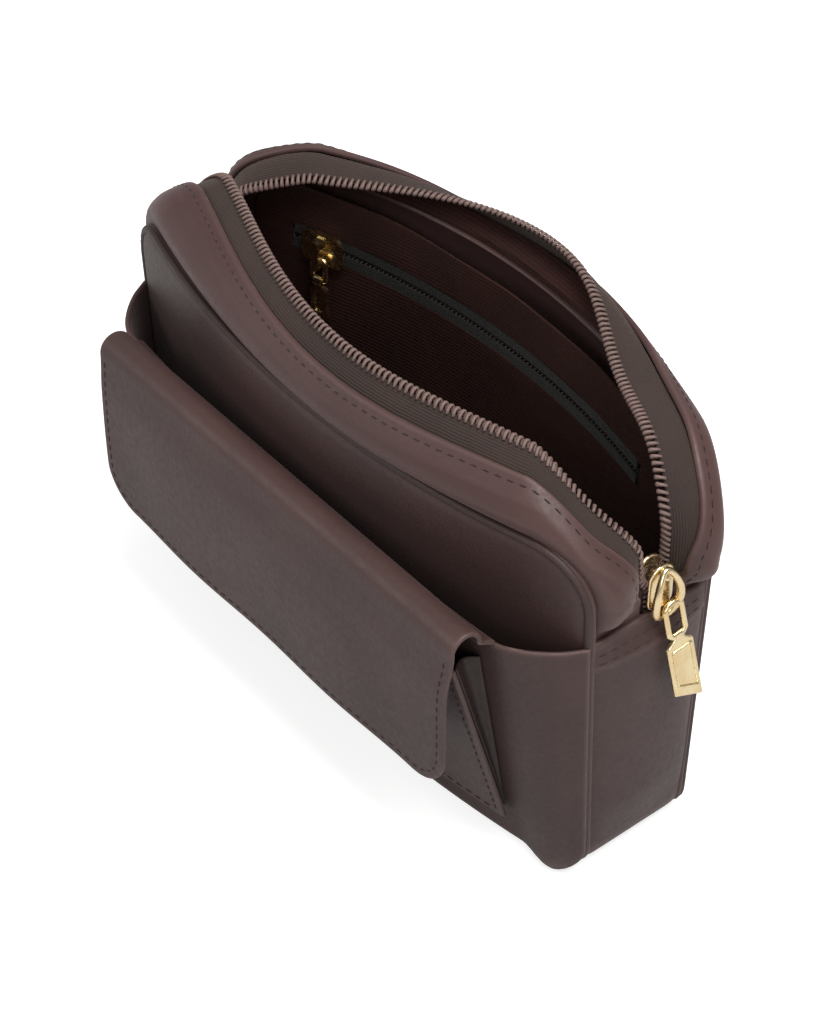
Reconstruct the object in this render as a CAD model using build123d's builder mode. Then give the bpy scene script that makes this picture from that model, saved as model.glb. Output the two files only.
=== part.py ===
from build123d import *
from math import asin, cos, pi, radians, sin, sqrt
import os

# A small leather belt pouch. Millimetres, +Z up, the front faces -Y, and the
# origin is on the floor under the middle of the pouch.

# Overall sizes
pouch_width = 175.0
panel_height = 106.0        # floor to the seam along the top of the front and rear panels
front_mouth_height = 123.5  # floor to the front row of teeth, with the mouth open
rear_mouth_height = 119.0
bottom_depth = 33.0         # front to back at the ends, on the floor
seam_depth = 40.0           # front to back at the ends, at the panels' top
front_bulge_bottom = 10.5   # how far the middle of a panel stands out from its ends
front_bulge_top = 15.0
rear_bulge_bottom = 19.0
rear_bulge_top = 22.0
front_mouth_spread = 25.0   # how far each row of teeth bows out at the middle of the mouth
rear_mouth_spread = 38.0
front_mouth_skew = 0.004    # how much fuller each row is towards the right, per millimetre
rear_mouth_skew = 0.0025
mouth_bow_power = 1.3

# Materials
leather = 1.4
lining = 0.8
tape = 0.5
seam_gap = 0.1              # between pieces that are sewn face to face

# Outline of the panels and of the gusset that wraps their ends and bottom
gusset_height = 80.0
bottom_corner = 9.0
panel_corner = 16.0
slack_corner = 24.0         # three corners of the mouth droop, and the rear right one stands up
slack_corner_power = 1.4    # 1 is round, more is flatter
firm_corner = 20.0
firm_corner_power = 1.0

# Main zip
coil_width = 1.8
coil_height = 2.2
tape_shown = 8.0            # tape between the leather strip and the teeth
tape_under_strip = 2.0
closed_row = 1.0            # centre of a row from the zip's middle, teeth closed
open_row = 2.7              # the same, where the slider's wedge has parted them
zip_shift = 3.0             # how far the zip's ends lie behind the middle of the gusset
zip_hidden_end = 6.0        # length of zip that runs down behind the gusset
corner_steps = 6
mouth_steps = 14

# Sliders and pulls
slider_length = 13.0
slider_width = 9.2
slider_plate = 1.0
slider_channel = 2.7        # between the two plates
parting_low = 1.0           # the rows start to part this far below the slider's middle
parting_high = 1.5          # and are fully parted this far above it
parting_clear = 2.5         # the corners start no lower than this above it
slider_corner = 2.0
flange_width = 0.7          # rims that close a slider's sides, either side of the tape
flange_short = 5.0
flange_drop = 1.0
tape_slot = 0.5
wedge_length = 3.5
wedge_drop = 2.25
bridge_cap = 1.1
sewing_gap = 0.3
facing_gap = 0.9
link_wire = 1.4
link_clearance = 0.3
link_half_gap = 2.1         # slider's middle to the middle of one arm of the link
link_bend = 1.2
main_link_drop = 9.5
inner_link_drop = 7.0
main_wedge = 2.6            # wedge that parts the rows of teeth inside a slider
inner_wedge = 0.8
bridge_width = 2.2
bridge_span = 7.0           # between the middles of the bridge's posts
bridge_post = 1.2
main_tab_length = 21.0
main_tab_width = 6.4
inner_tab_length = 13.0
inner_tab_width = 5.0
tab_thickness = 1.6
tab_shoulder = 2.2          # bar to the tab's wide part
tab_slant = 1.6
barrel_width = 2.4
barrel_radius = 1.5
bar_clearance = 0.1
recess_depth = 0.3
main_bar_reach = 5.2        # tape to the bar that the pull hangs from
inner_bar_reach = 3.7

# Slip pocket, flap pocket and flap
slip_shoulder = 70.0        # half the stretch over which the slip pocket stands off
slip_top_shoulder = 35.5    # where its face is at the shoulder and at the middle
slip_top_middle = 38.9
slip_bottom_shoulder = 22.6
slip_bottom_middle = 28.9
pocket_half_width = 69.5
pocket_bottom = 13.0
pocket_height = 74.0
pocket_gap = 1.3            # slip pocket to the flap pocket's front, along the bottom seam
pocket_top_middle = 45.4
pocket_top_side = 44.4
flap_half_width = 71.0
flap_bottom = 36.0
flap_corner = 12.0
flap_leather_thickness = 1.3
flap_lining_thickness = 0.7
fold_y = -42.8              # line that the flap turns about
fold_z = 83.5
fold_radius = 5.0
snap_radius = 7.0
snap_thickness = 2.2
snap_height = 45.0

# Pocket in the rear lining
lining_end_gap = 4.5        # rear lining from the rear panel's face, at the ends and the middle
lining_middle_gap = 7.5
inner_zip_height = 85.0
inner_zip_left = -74.0
inner_zip_right = 54.0
inner_window = 10.0
inner_row = 1.5
inner_facing = 4.0
inner_slider_start = -64.0
inner_slider_end = 44.0
inner_pocket_depth = 56.0

# Belt loops
loop_centre = 34.0
loop_width = 26.0
loop_thickness = 2.0
loop_gap = 9.0
loop_low = 24.0
loop_high = 98.0
loop_sewn = 10.0
loop_seat = 0.3             # rear panel to the sewn ends of a loop

# Sizes that follow
half_width = pouch_width / 2
outline_margin = 1.0        # walls are made this much too large, then cut to their outline
under_leather = leather + seam_gap
zip_plane = half_width - under_leather - leather / 2       # where the strips lie at the ends
tape_plane = zip_plane - leather / 2 - seam_gap - tape / 2  # where the tape and slider lie
slider_height = gusset_height + 0.5 + slider_length / 2     # middle of the main slider at rest

os.makedirs("parts", exist_ok=True)


def write(builder, name):
    """Label a finished piece and write it."""
    builder.part.label = name
    export_step(builder.part, "parts/" + name + ".step")


# Shape of the bulged walls ---------------------------------------------------------------

def end_half_depth(z):
    """Half the pouch's depth at its ends, at height z."""
    return (bottom_depth + (seam_depth - bottom_depth) * z / panel_height) / 2


def bulge(side, z):
    """How far the front (side -1) or the rear (side 1) wall stands out at the middle."""
    low, high = (front_bulge_bottom, front_bulge_top) if side < 0 else (rear_bulge_bottom, rear_bulge_top)
    return low + (high - low) * z / panel_height


def bow_radius(half_span, reach):
    """Radius of an arc that stands out by reach in the middle of its span."""
    return (half_span ** 2 + reach ** 2) / (2 * reach)


def bow(x, half_span, reach):
    """How far such an arc stands out at x."""
    radius = bow_radius(half_span, reach)
    return reach - radius + sqrt(radius ** 2 - x ** 2)


def wall_reach(side, z, face):
    """How far the middle of a wall's face stands out; a face is (offset at ends, at middle)."""
    return bulge(side, z) + face[1] - face[0]


def wall_y(side, x, z, face=(0.0, 0.0)):
    """Y of a wall's face at x and z."""
    return side * (end_half_depth(z) + face[0] + bow(x, half_width, wall_reach(side, z, face)))


def wall_arc(side, z, face):
    """The level arc that a wall's face follows at height z, drawn from left to right and a
    little past both ends, where the outline cuts it."""
    reach = half_width + outline_margin
    return ThreePointArc(
        (-reach, wall_y(side, -reach, z, face)),
        (0, wall_y(side, 0, z, face)),
        (reach, wall_y(side, reach, z, face)),
    )


def bulged_wall(side, outer, inner):
    """A wall between two faces, a little larger than the outline that cuts it."""
    with BuildPart() as wall:
        for z in (-outline_margin, panel_height + outline_margin):
            with BuildSketch(Plane.XY.offset(z)):
                with BuildLine():
                    outside = wall_arc(side, z, outer)
                    inside = wall_arc(side, z, inner)
                    Line(outside @ 0, inside @ 0)
                    Line(outside @ 1, inside @ 1)
                make_face()
        loft(ruled=True)
    return wall.part


def room_between_walls(front_face, rear_face):
    """The solid room between a face of the front wall and a face of the rear wall."""
    with BuildPart() as room:
        for z in (-outline_margin, panel_height + outline_margin):
            with BuildSketch(Plane.XY.offset(z)):
                with BuildLine():
                    front = wall_arc(-1, z, front_face)
                    rear = wall_arc(1, z, rear_face)
                    Line(front @ 0, rear @ 0)
                    Line(front @ 1, rear @ 1)
                make_face()
        loft(ruled=True)
    return room.part


def panel_outline(inset):
    """Front view of a panel, drawn in by an inset, with rounded corners."""
    with BuildSketch(Plane.XZ) as outline:
        with BuildLine():
            Polyline(
                (-half_width + inset, inset),
                (half_width - inset, inset),
                (half_width - inset, panel_height - inset),
                (-half_width + inset, panel_height - inset),
                close=True,
            )
        make_face()
        fillet(outline.vertices().group_by(Axis.Y)[0], bottom_corner - inset)
        fillet(outline.vertices().group_by(Axis.Y)[-1], panel_corner - inset)
    return outline.sketch


def gusset_outline(inset, top):
    """Front view of the solid that the U-shaped gusset bounds, up to height top."""
    with BuildSketch(Plane.XZ) as outline:
        with BuildLine():
            Polyline(
                (-half_width + inset, inset),
                (half_width - inset, inset),
                (half_width - inset, top),
                (-half_width + inset, top),
                close=True,
            )
        make_face()
        fillet(outline.vertices().group_by(Axis.Y)[0], bottom_corner - inset)
    return outline.sketch


def across_depth(sketch, mode):
    """Extrude a front-view sketch through the whole depth of the pouch."""
    extrude(sketch, amount=2 * pouch_width, both=True, mode=mode)


# Shell ----------------------------------------------------------------------------------

face_leather = (-leather, -leather)

with BuildPart() as front_panel:
    add(bulged_wall(-1, (0, 0), face_leather))
    across_depth(panel_outline(0), Mode.INTERSECT)
write(front_panel, "front_panel")

with BuildPart() as rear_panel:
    add(bulged_wall(1, (0, 0), face_leather))
    across_depth(panel_outline(0), Mode.INTERSECT)
write(rear_panel, "rear_panel")

face_gusset = (-under_leather, -under_leather)

with BuildPart() as end_and_bottom_gusset:
    add(room_between_walls(face_gusset, face_gusset))
    across_depth(gusset_outline(0, gusset_height), Mode.INTERSECT)
    across_depth(gusset_outline(leather, gusset_height + 1), Mode.SUBTRACT)
write(end_and_bottom_gusset, "end_and_bottom_gusset")

# Lining ---------------------------------------------------------------------------------

lining_inset = under_leather + 2 * leather + 1.5
lining_top = panel_height - lining_inset
front_lining_outer = (-under_leather, -under_leather)
front_lining_inner = (-under_leather - lining, -under_leather - lining)
rear_lining_outer = (-lining_end_gap, -lining_middle_gap)
rear_lining_inner = (-lining_end_gap - lining, -lining_middle_gap - lining)

with BuildPart() as front_lining:
    add(bulged_wall(-1, front_lining_outer, front_lining_inner))
    across_depth(panel_outline(lining_inset), Mode.INTERSECT)
write(front_lining, "front_lining")

with BuildPart() as rear_lining:
    add(bulged_wall(1, rear_lining_outer, rear_lining_inner))
    across_depth(panel_outline(lining_inset), Mode.INTERSECT)
    with BuildSketch(Plane.XZ) as window:
        with Locations(((inner_zip_left + inner_zip_right) / 2, inner_zip_height)):
            Rectangle(inner_zip_right - inner_zip_left, inner_window)
    across_depth(window.sketch, Mode.SUBTRACT)
write(rear_lining, "rear_lining")

with BuildPart() as gusset_lining:
    add(room_between_walls(
        (-under_leather - lining - seam_gap, -under_leather - lining - seam_gap),
        (-lining_end_gap - lining - seam_gap, -lining_middle_gap - lining - seam_gap),
    ))
    lined_height = gusset_height - zip_hidden_end - 1
    across_depth(gusset_outline(under_leather, lined_height), Mode.INTERSECT)
    across_depth(gusset_outline(under_leather + lining, gusset_height), Mode.SUBTRACT)
write(gusset_lining, "gusset_lining")


# Main zip: two leather strips, two tapes and two rows of teeth ---------------------------

seam_turn = panel_height - panel_corner    # height at which the seam starts to turn
zip_end = gusset_height - zip_hidden_end


strip_inside = -under_leather - leather / 2 - sewing_gap
strip_face = (strip_inside, strip_inside)


def seam_point(side, x, z):
    """A point of the seam, just inside the panel's edge."""
    return Vector(x, wall_y(side, x, z, strip_face), z)


def row_point(side, x, z, row):
    """A point of a row of teeth, which bows out towards the middle of the mouth."""
    spread = front_mouth_spread if side < 0 else rear_mouth_spread
    skew = front_mouth_skew if side < 0 else rear_mouth_skew
    share = max(0.0, 1 - (x / zip_plane) ** 2) ** mouth_bow_power
    return Vector(x, side * (row + spread * (1 + skew * x) * share) + zip_shift * (x / zip_plane) ** 2, z)


def end_stations(side, end):
    """Matching points of the seam and the row, up the right (end 1) or left (end -1) end and
    round its corner."""
    firm = side > 0 and end > 0
    corner = firm_corner if firm else slack_corner
    power = firm_corner_power if firm else slack_corner_power
    row_turn = (front_mouth_height if side < 0 else rear_mouth_height) - corner
    turn_start = max(row_turn, slider_height + parting_clear)
    stations = []
    for row_z, row in (
        (zip_end, closed_row),
        (slider_height - parting_low, closed_row),
        (slider_height + parting_high, open_row),
        (turn_start, open_row),
    ):
        share = (row_z - zip_end) / (turn_start - zip_end)
        seam_z = zip_end + share * (seam_turn - zip_end)
        stations.append((
            seam_point(side, end * zip_plane, seam_z), row_point(side, end * zip_plane, row_z, row)
        ))
    for step in range(1, corner_steps + 1):
        turn = pi / 2 * step / corner_steps
        seam_x = zip_plane - panel_corner * (1 - cos(turn))
        seam_z = seam_turn + (panel_corner - under_leather) * sin(turn)
        row_x = zip_plane - corner * (1 - max(cos(turn), 0.0) ** power)
        row_z = row_turn + corner * sin(turn) ** power
        stations.append((
            seam_point(side, end * seam_x, seam_z), row_point(side, end * row_x, row_z, open_row)
        ))
    return stations


def zip_stations(side):
    """Matching points of the seam and the row, from the right end over the top to the left."""
    right = end_stations(side, 1)
    left = end_stations(side, -1)
    right_seam, right_row = right[-1]
    left_seam, left_row = left[-1]
    top = []
    for step in range(1, mouth_steps):
        share = step / mouth_steps
        top.append((
            seam_point(side, right_seam.X + (left_seam.X - right_seam.X) * share, right_seam.Z),
            row_point(side, right_row.X + (left_row.X - right_row.X) * share, right_row.Z, open_row),
        ))
    return right + top + left[::-1]


def zip_band(side, from_row, to_row, lift, thickness):
    """A thin band along the zip. Its edges are from_row and to_row short of the row's middle
    (None starts at the seam), and it lies lift outside the leather strip's plane."""
    stations = zip_stations(side)
    sections = []
    for index, (seam, row) in enumerate(stations):
        before = stations[max(index - 1, 0)]
        after = stations[min(index + 1, len(stations) - 1)]
        along = (after[0] + after[1]) - (before[0] + before[1])
        across = (row - seam).normalized()
        along = (along - across * along.dot(across)).normalized()
        width = (row - seam).length
        near = 0.0 if from_row is None else width - from_row
        sections.append((Plane(origin=seam, x_dir=across, z_dir=along), near, width - to_row))
    with BuildPart() as band:
        for pair in zip(sections, sections[1:]):
            for plane, near, far in pair:
                with BuildSketch(plane):
                    with Locations(((near + far) / 2, side * lift)):
                        Rectangle(far - near, thickness)
            loft(ruled=True)
    return band.part


tape_lift = -(leather / 2 + seam_gap + tape / 2)
coil_half = coil_width / 2
zip_sides = {"front": -1, "rear": 1}

for name, side in zip_sides.items():
    with BuildPart() as strip:
        add(zip_band(side, None, tape_shown, 0.0, leather))
    write(strip, name + "_zip_strip")
    with BuildPart() as tape_band:
        add(zip_band(side, tape_shown + tape_under_strip, coil_half + 0.05, tape_lift, tape))
    write(tape_band, name + "_zip_tape")
    with BuildPart() as coil:
        add(zip_band(side, coil_half, -coil_half, tape_lift, coil_height))
    write(coil, name + "_zip_teeth")

stop_height = 4.0
stop_thickness = 0.6
coil_face = tape_plane + coil_height / 2 + 0.05

with BuildPart() as zip_end_stop:
    with BuildSketch(Plane.YZ.offset(coil_face)):
        with Locations((zip_shift, gusset_height - stop_height / 2)):
            Rectangle(2 * (closed_row + coil_half), stop_height)
    extrude(amount=stop_thickness)
write(zip_end_stop, "zip_end_stop")

with BuildPart() as zip_top_stops:
    with BuildSketch(Plane.YZ.offset(-coil_face - stop_thickness)):
        with Locations(*[(zip_shift + side * open_row, slider_height) for side in (-1, 1)]):
            Rectangle(coil_width + 0.4, stop_height)
    extrude(amount=stop_thickness)
write(zip_top_stops, "zip_top_stops")


# Slip pocket, flap pocket and flap on the front ------------------------------------------

slip_low = 2.0


def slip_y(x, z):
    """Y of the slip pocket's outer face, between its two shoulders."""
    share = (z - slip_low) / (gusset_height - slip_low)
    shoulder = slip_bottom_shoulder + (slip_top_shoulder - slip_bottom_shoulder) * share
    middle = slip_bottom_middle + (slip_top_middle - slip_bottom_middle) * share
    return -shoulder - bow(x, slip_shoulder, middle - shoulder)


def slip_curve(z, depth):
    """The slip pocket's level curve, depth inside its outer face: sewn down at both ends and
    standing off between its shoulders."""
    face = ThreePointArc(
        (-slip_shoulder, slip_y(slip_shoulder, z) + depth),
        (0, slip_y(0, z) + depth),
        (slip_shoulder, slip_y(slip_shoulder, z) + depth),
    )
    sewn_y = -end_half_depth(z) - leather - seam_gap + depth
    right = Spline(face @ 1, (half_width, sewn_y), tangents=(face % 1, (0.5, 0.8)))
    left = Spline((-half_width, sewn_y), face @ 0, tangents=((0.5, -0.8), face % 0))
    return left @ 0, right @ 1


with BuildPart() as slip_pocket_panel:
    for z in (slip_low, gusset_height):
        with BuildSketch(Plane.XY.offset(z)):
            with BuildLine():
                outer_left, outer_right = slip_curve(z, 0.0)
                inner_left, inner_right = slip_curve(z, leather)
                Line(outer_left, inner_left)
                Line(outer_right, inner_right)
            make_face()
    loft(ruled=True)
    across_depth(panel_outline(0), Mode.INTERSECT)
write(slip_pocket_panel, "slip_pocket_panel")

pocket_face = {
    pocket_bottom: (slip_y(slip_shoulder, pocket_bottom), slip_y(0, pocket_bottom)),
    pocket_height: (leather + pocket_gap - pocket_top_side, leather + pocket_gap - pocket_top_middle),
}

with BuildPart() as flap_pocket_front:
    for z, (side_y, middle_y) in pocket_face.items():
        with BuildSketch(Plane.XY.offset(z)):
            with BuildLine():
                inside = ThreePointArc(
                    (-pocket_half_width, side_y - pocket_gap),
                    (0, middle_y - pocket_gap),
                    (pocket_half_width, side_y - pocket_gap),
                )
                outside = ThreePointArc(
                    (-pocket_half_width, side_y - pocket_gap - leather),
                    (0, middle_y - pocket_gap - leather),
                    (pocket_half_width, side_y - pocket_gap - leather),
                )
                Line(outside @ 0, inside @ 0)
                Line(outside @ 1, inside @ 1)
            make_face()
    loft(ruled=True)
write(flap_pocket_front, "flap_pocket_front")

bellows_thickness = 1.0
bellows_foot = pocket_bottom + 4.0
bellows_top = pocket_height - 1.0


def pocket_side_y(z):
    """Y of the flap pocket's inner face at height z, at its sides."""
    low = pocket_face[pocket_bottom][0] - pocket_gap
    high = pocket_face[pocket_height][0] - pocket_gap
    return low + (high - low) * (z - pocket_bottom) / (pocket_height - pocket_bottom)


for name, direction in {"left": -1, "right": 1}.items():
    with BuildPart() as bellows:
        with BuildSketch(Plane.YZ.offset(direction * (pocket_half_width - 1.5))):
            with BuildLine():
                Polyline(
                    ((slip_y(slip_shoulder, bellows_foot) + pocket_side_y(bellows_foot)) / 2, bellows_foot),
                    (slip_y(slip_shoulder, bellows_top) - 1.0, bellows_top),
                    (pocket_side_y(bellows_top) + 0.4, bellows_top),
                    close=True,
                )
            make_face()
        extrude(amount=bellows_thickness / 2, both=True)
    write(bellows, name + "_pocket_bellows")

crest_outer = fold_radius - flap_leather_thickness - 0.2
crest_inner = crest_outer - flap_leather_thickness
root_clearance = 0.2

with BuildPart() as flap_root:
    for x in (-flap_half_width, -slip_shoulder / 2, 0, slip_shoulder / 2, flap_half_width):
        root_y = slip_y(x, gusset_height)
        with BuildSketch(Plane.YZ.offset(x)):
            with BuildLine():
                over = CenterArc((fold_y, fold_z), crest_outer, 0, 180)
                under = CenterArc((fold_y, fold_z), crest_inner, 0, 180)
                Line(over @ 1, under @ 1)
                Polyline(
                    over @ 0,
                    (root_y + leather, gusset_height + root_clearance),
                    (root_y, gusset_height + root_clearance),
                    under @ 0,
                )
            make_face()
    loft(ruled=True)
write(flap_root, "flap_root")


def flap_sheet(near, far, margin, top):
    """A hanging sheet between two distances from the fold line, with rounded lower corners."""
    with BuildPart() as sheet:
        with BuildSketch(Plane.XZ.offset(-fold_y + near)):
            with BuildLine():
                Polyline(
                    (margin - flap_half_width, flap_bottom + margin),
                    (flap_half_width - margin, flap_bottom + margin),
                    (flap_half_width - margin, top),
                    (margin - flap_half_width, top),
                    close=True,
                )
            make_face()
            fillet(vertices().group_by(Axis.Y)[0], flap_corner - margin)
        extrude(amount=far - near)
    return sheet.part


with BuildPart() as flap_leather:
    add(flap_sheet(fold_radius - flap_leather_thickness, fold_radius, 0.0, fold_z))
    with BuildSketch(Plane.YZ.offset(-flap_half_width)):
        with BuildLine():
            over = CenterArc((fold_y, fold_z), fold_radius, 150, 30)
            under = CenterArc((fold_y, fold_z), fold_radius - flap_leather_thickness, 150, 30)
            Line(over @ 0, under @ 0)
            Line(over @ 1, under @ 1)
        make_face()
    extrude(amount=2 * flap_half_width)
write(flap_leather, "flap_leather")

lining_far = fold_radius - flap_leather_thickness
with BuildPart() as flap_lining:
    add(flap_sheet(lining_far - flap_lining_thickness, lining_far, 1.5, fold_z - 2))
write(flap_lining, "flap_lining")

with BuildPart() as magnetic_snap_cap:
    with BuildSketch(Plane.XZ.offset(-fold_y + lining_far - flap_lining_thickness - snap_thickness)):
        with Locations((0, snap_height)):
            Circle(snap_radius)
    extrude(amount=snap_thickness)
write(magnetic_snap_cap, "magnetic_snap_cap")


def pocket_outer_y(z):
    """Y of the flap pocket's outer face at height z, in its middle."""
    low = pocket_face[pocket_bottom][1]
    high = pocket_face[pocket_height][1]
    share = (z - pocket_bottom) / (pocket_height - pocket_bottom)
    return low + (high - low) * share - pocket_gap - leather


snap_seat = pocket_outer_y(snap_height + snap_radius) - seam_gap
with BuildPart() as magnetic_snap_base:
    with BuildSketch(Plane.XZ.offset(-snap_seat)):
        with Locations((0, snap_height)):
            Circle(snap_radius)
    extrude(amount=snap_thickness)
write(magnetic_snap_base, "magnetic_snap_base")


# Pocket in the rear lining, with its zip along a level arc -------------------------------

tape_face = (-lining_end_gap - lining / 2, -lining_middle_gap - lining / 2)
arc_radius = bow_radius(half_width, wall_reach(1, inner_zip_height, tape_face))
arc_centre_y = wall_y(1, 0, inner_zip_height, tape_face) - arc_radius
arc_axis = Axis((0, arc_centre_y, 0), (0, 0, 1))


def arc_angle(x):
    """Angle round the arc's centre, clockwise from the rear, of the point at x."""
    return asin(x / arc_radius) * 180 / pi


def arc_plane(x):
    """An upright plane through the arc's centre and its point at x; local X runs outward."""
    angle = radians(arc_angle(x))
    return Plane(
        origin=(0, arc_centre_y, 0),
        x_dir=(sin(angle), cos(angle), 0),
        z_dir=(cos(angle), -sin(angle), 0),
    )


def along_arc(left, right, boxes):
    """Strips that follow the arc from x left to x right. Each box is (distance out from the
    tape's middle, height above the zip's middle, thickness, width)."""
    with BuildPart() as strips:
        with BuildSketch(arc_plane(left)):
            for out, above, thickness, width in boxes:
                with Locations((arc_radius + out, inner_zip_height + above)):
                    Rectangle(thickness, width)
        revolve(axis=arc_axis, revolution_arc=arc_angle(left) - arc_angle(right))
    return strips.part


facing_out = -lining / 2 - facing_gap
facing_thickness = 0.6
facing_width = inner_window + 2 * inner_facing
with BuildPart() as inner_zip_facing:
    add(along_arc(
        inner_zip_left - inner_facing, inner_zip_right + inner_facing,
        [(facing_out, 0, facing_thickness, facing_width)],
    ))
    across_depth(window.sketch, Mode.SUBTRACT)
write(inner_zip_facing, "inner_zip_facing")

inner_tape_width = inner_window / 2 - 0.3 - inner_row - coil_half - 0.05
inner_tape_middle = inner_window / 2 - 0.3 - inner_tape_width / 2
zip_play = 1.0
with BuildPart() as inner_zip_tapes:
    add(along_arc(inner_zip_left + zip_play, inner_zip_right - zip_play, [
        (0, inner_tape_middle, tape, inner_tape_width),
        (0, -inner_tape_middle, tape, inner_tape_width),
    ]))
write(inner_zip_tapes, "inner_zip_tapes")

with BuildPart() as inner_zip_teeth:
    add(along_arc(inner_zip_left + zip_play, inner_zip_right - zip_play, [
        (0, inner_row, coil_height, coil_width),
        (0, -inner_row, coil_height, coil_width),
    ]))
write(inner_zip_teeth, "inner_zip_teeth")

pocket_outer = (-1.9, -3.4)
pocket_inner = (-2.5, -4.0)
with BuildPart() as inner_pocket_sheet:
    add(bulged_wall(1, pocket_outer, pocket_inner))
    with BuildSketch(Plane.XZ) as sheet_outline:
        with BuildLine():
            Polyline(
                (inner_zip_left, inner_zip_height - inner_pocket_depth),
                (inner_zip_right + inner_facing, inner_zip_height - inner_pocket_depth),
                (inner_zip_right + inner_facing, inner_zip_height + inner_window),
                (inner_zip_left, inner_zip_height + inner_window),
                close=True,
            )
        make_face()
    across_depth(sheet_outline.sketch, Mode.INTERSECT)
write(inner_pocket_sheet, "inner_pocket_sheet")


# Sliders and pulls -----------------------------------------------------------------------

def slider_body(zip_frame, pull_frame, bar_reach, wedge_width):
    """A cast slider. zip_frame lies in the tape, with local Y towards the crown; pull_frame is
    the same place, with local Y pointing up, and carries the bridge."""
    face = slider_channel / 2 + slider_plate
    wire_room = link_wire + 2 * link_clearance
    with BuildPart() as slider:
        for low in (-face, slider_channel / 2):
            with BuildSketch(zip_frame.offset(low)):
                RectangleRounded(slider_width, slider_length, slider_corner)
            extrude(amount=slider_plate)
        flange_height = slider_channel / 2 - tape_slot
        for low in (-slider_channel / 2, tape_slot):
            with BuildSketch(zip_frame.offset(low)):
                with Locations(*[(edge * (slider_width - flange_width) / 2, -flange_drop) for edge in (-1, 1)]):
                    Rectangle(flange_width, slider_length - flange_short)
            extrude(amount=flange_height)
        with BuildSketch(zip_frame.offset(-slider_channel / 2)):
            with Locations((0, slider_length / 2 - wedge_drop)):
                Rectangle(wedge_width, wedge_length)
        extrude(amount=slider_channel)
        with BuildSketch(pull_frame.offset(face)):
            with Locations((0, -bridge_span / 2), (0, bridge_span / 2)):
                Rectangle(bridge_width, bridge_post)
        extrude(amount=bar_reach + wire_room / 2 - face)
        with BuildSketch(pull_frame.offset(bar_reach + wire_room / 2)):
            SlotOverall(bridge_span + 2 * bridge_post, bridge_width, rotation=90)
        extrude(amount=bridge_cap)
    return slider.part


def pull_bar_place(bar_reach):
    """Local Y and Z, in a slider's pull frame, of the bar that the pull hangs from."""
    wire_room = link_wire + 2 * link_clearance
    return bridge_post / 2 + wire_room / 2 - bridge_span / 2, bar_reach


def pull_link(frame, drop, half_gap):
    """A wire stirrup: its upper bar is at the frame's origin and its lower bar hangs below."""
    with BuildPart() as link:
        with BuildSketch(frame, mode=Mode.PRIVATE) as route:
            with Locations((0, -drop / 2)):
                RectangleRounded(2 * half_gap, drop, link_bend)
        ring = route.sketch.wire()
        with BuildSketch(Plane(origin=ring @ 0, z_dir=ring % 0)):
            Circle(link_wire / 2)
        sweep(path=ring)
    return link.part


def pull_tab(frame, length, width, slant):
    """A flat tab with a barrel round the link's lower bar, at the frame's origin."""
    with BuildPart() as tab:
        with BuildSketch(frame.offset(-tab_thickness / 2)):
            with BuildLine():
                Polyline(
                    (-width / 2, -tab_shoulder),
                    (-width / 2, -length + slant),
                    (width / 2, -length),
                    (width / 2, -tab_shoulder),
                    close=True,
                )
            make_face()
            fillet(vertices(), 1.0)
            with Locations((0, -tab_shoulder / 2 - 0.4)):
                Rectangle(barrel_width, tab_shoulder + 1.2)
        extrude(amount=tab_thickness)
        side_plane = Plane(origin=frame.origin, x_dir=frame.y_dir, z_dir=frame.x_dir)
        with BuildSketch(side_plane.offset(-barrel_width / 2)):
            Circle(barrel_radius)
        extrude(amount=barrel_width)
        with BuildSketch(side_plane.offset(-width)):
            Circle(link_wire / 2 + bar_clearance)
        extrude(amount=2 * width, mode=Mode.SUBTRACT)
        with BuildSketch(frame.offset(tab_thickness / 2 - recess_depth)):
            with Locations((0, -(tab_shoulder + length - slant) / 2)):
                RectangleRounded(width - 2.4, length - slant - tab_shoulder - 2.4, 0.8)
        extrude(amount=recess_depth + 1, mode=Mode.SUBTRACT)
    return tab.part


main_slider_frame = Plane(origin=(tape_plane, zip_shift, slider_height), x_dir=(0, 1, 0), z_dir=(1, 0, 0))
with BuildPart() as main_slider_body:
    add(slider_body(main_slider_frame, main_slider_frame, main_bar_reach, main_wedge))
write(main_slider_body, "main_slider_body")

main_bar_up, main_bar_out = pull_bar_place(main_bar_reach)
main_link_frame = Plane(
    origin=(tape_plane + main_bar_out, zip_shift, slider_height + main_bar_up), x_dir=(0, 1, 0), z_dir=(1, 0, 0)
)
with BuildPart() as main_pull_link:
    add(pull_link(main_link_frame, main_link_drop, link_half_gap))
write(main_pull_link, "main_pull_link")

main_tab_frame = Plane(
    origin=main_link_frame.origin - Vector(0, 0, main_link_drop), x_dir=(0, 1, 0), z_dir=(1, 0, 0)
)
with BuildPart() as main_pull_tab:
    add(pull_tab(main_tab_frame, main_tab_length, main_tab_width, tab_slant))
write(main_pull_tab, "main_pull_tab")

inner_angle = radians(arc_angle(inner_slider_start))
inner_outward = Vector(-sin(inner_angle), -cos(inner_angle), 0)      # into the pouch
inner_along = Vector(cos(inner_angle), -sin(inner_angle), 0)
inner_place = Vector(arc_radius * sin(inner_angle), arc_centre_y + arc_radius * cos(inner_angle), inner_zip_height)
inner_zip_frame = Plane(origin=inner_place, x_dir=(0, 0, 1), z_dir=inner_outward)
inner_pull_frame = Plane(origin=inner_place, x_dir=inner_along, z_dir=inner_outward)
with BuildPart() as inner_slider_body:
    add(slider_body(inner_zip_frame, inner_pull_frame, inner_bar_reach, inner_wedge))
write(inner_slider_body, "inner_slider_body")

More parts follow.
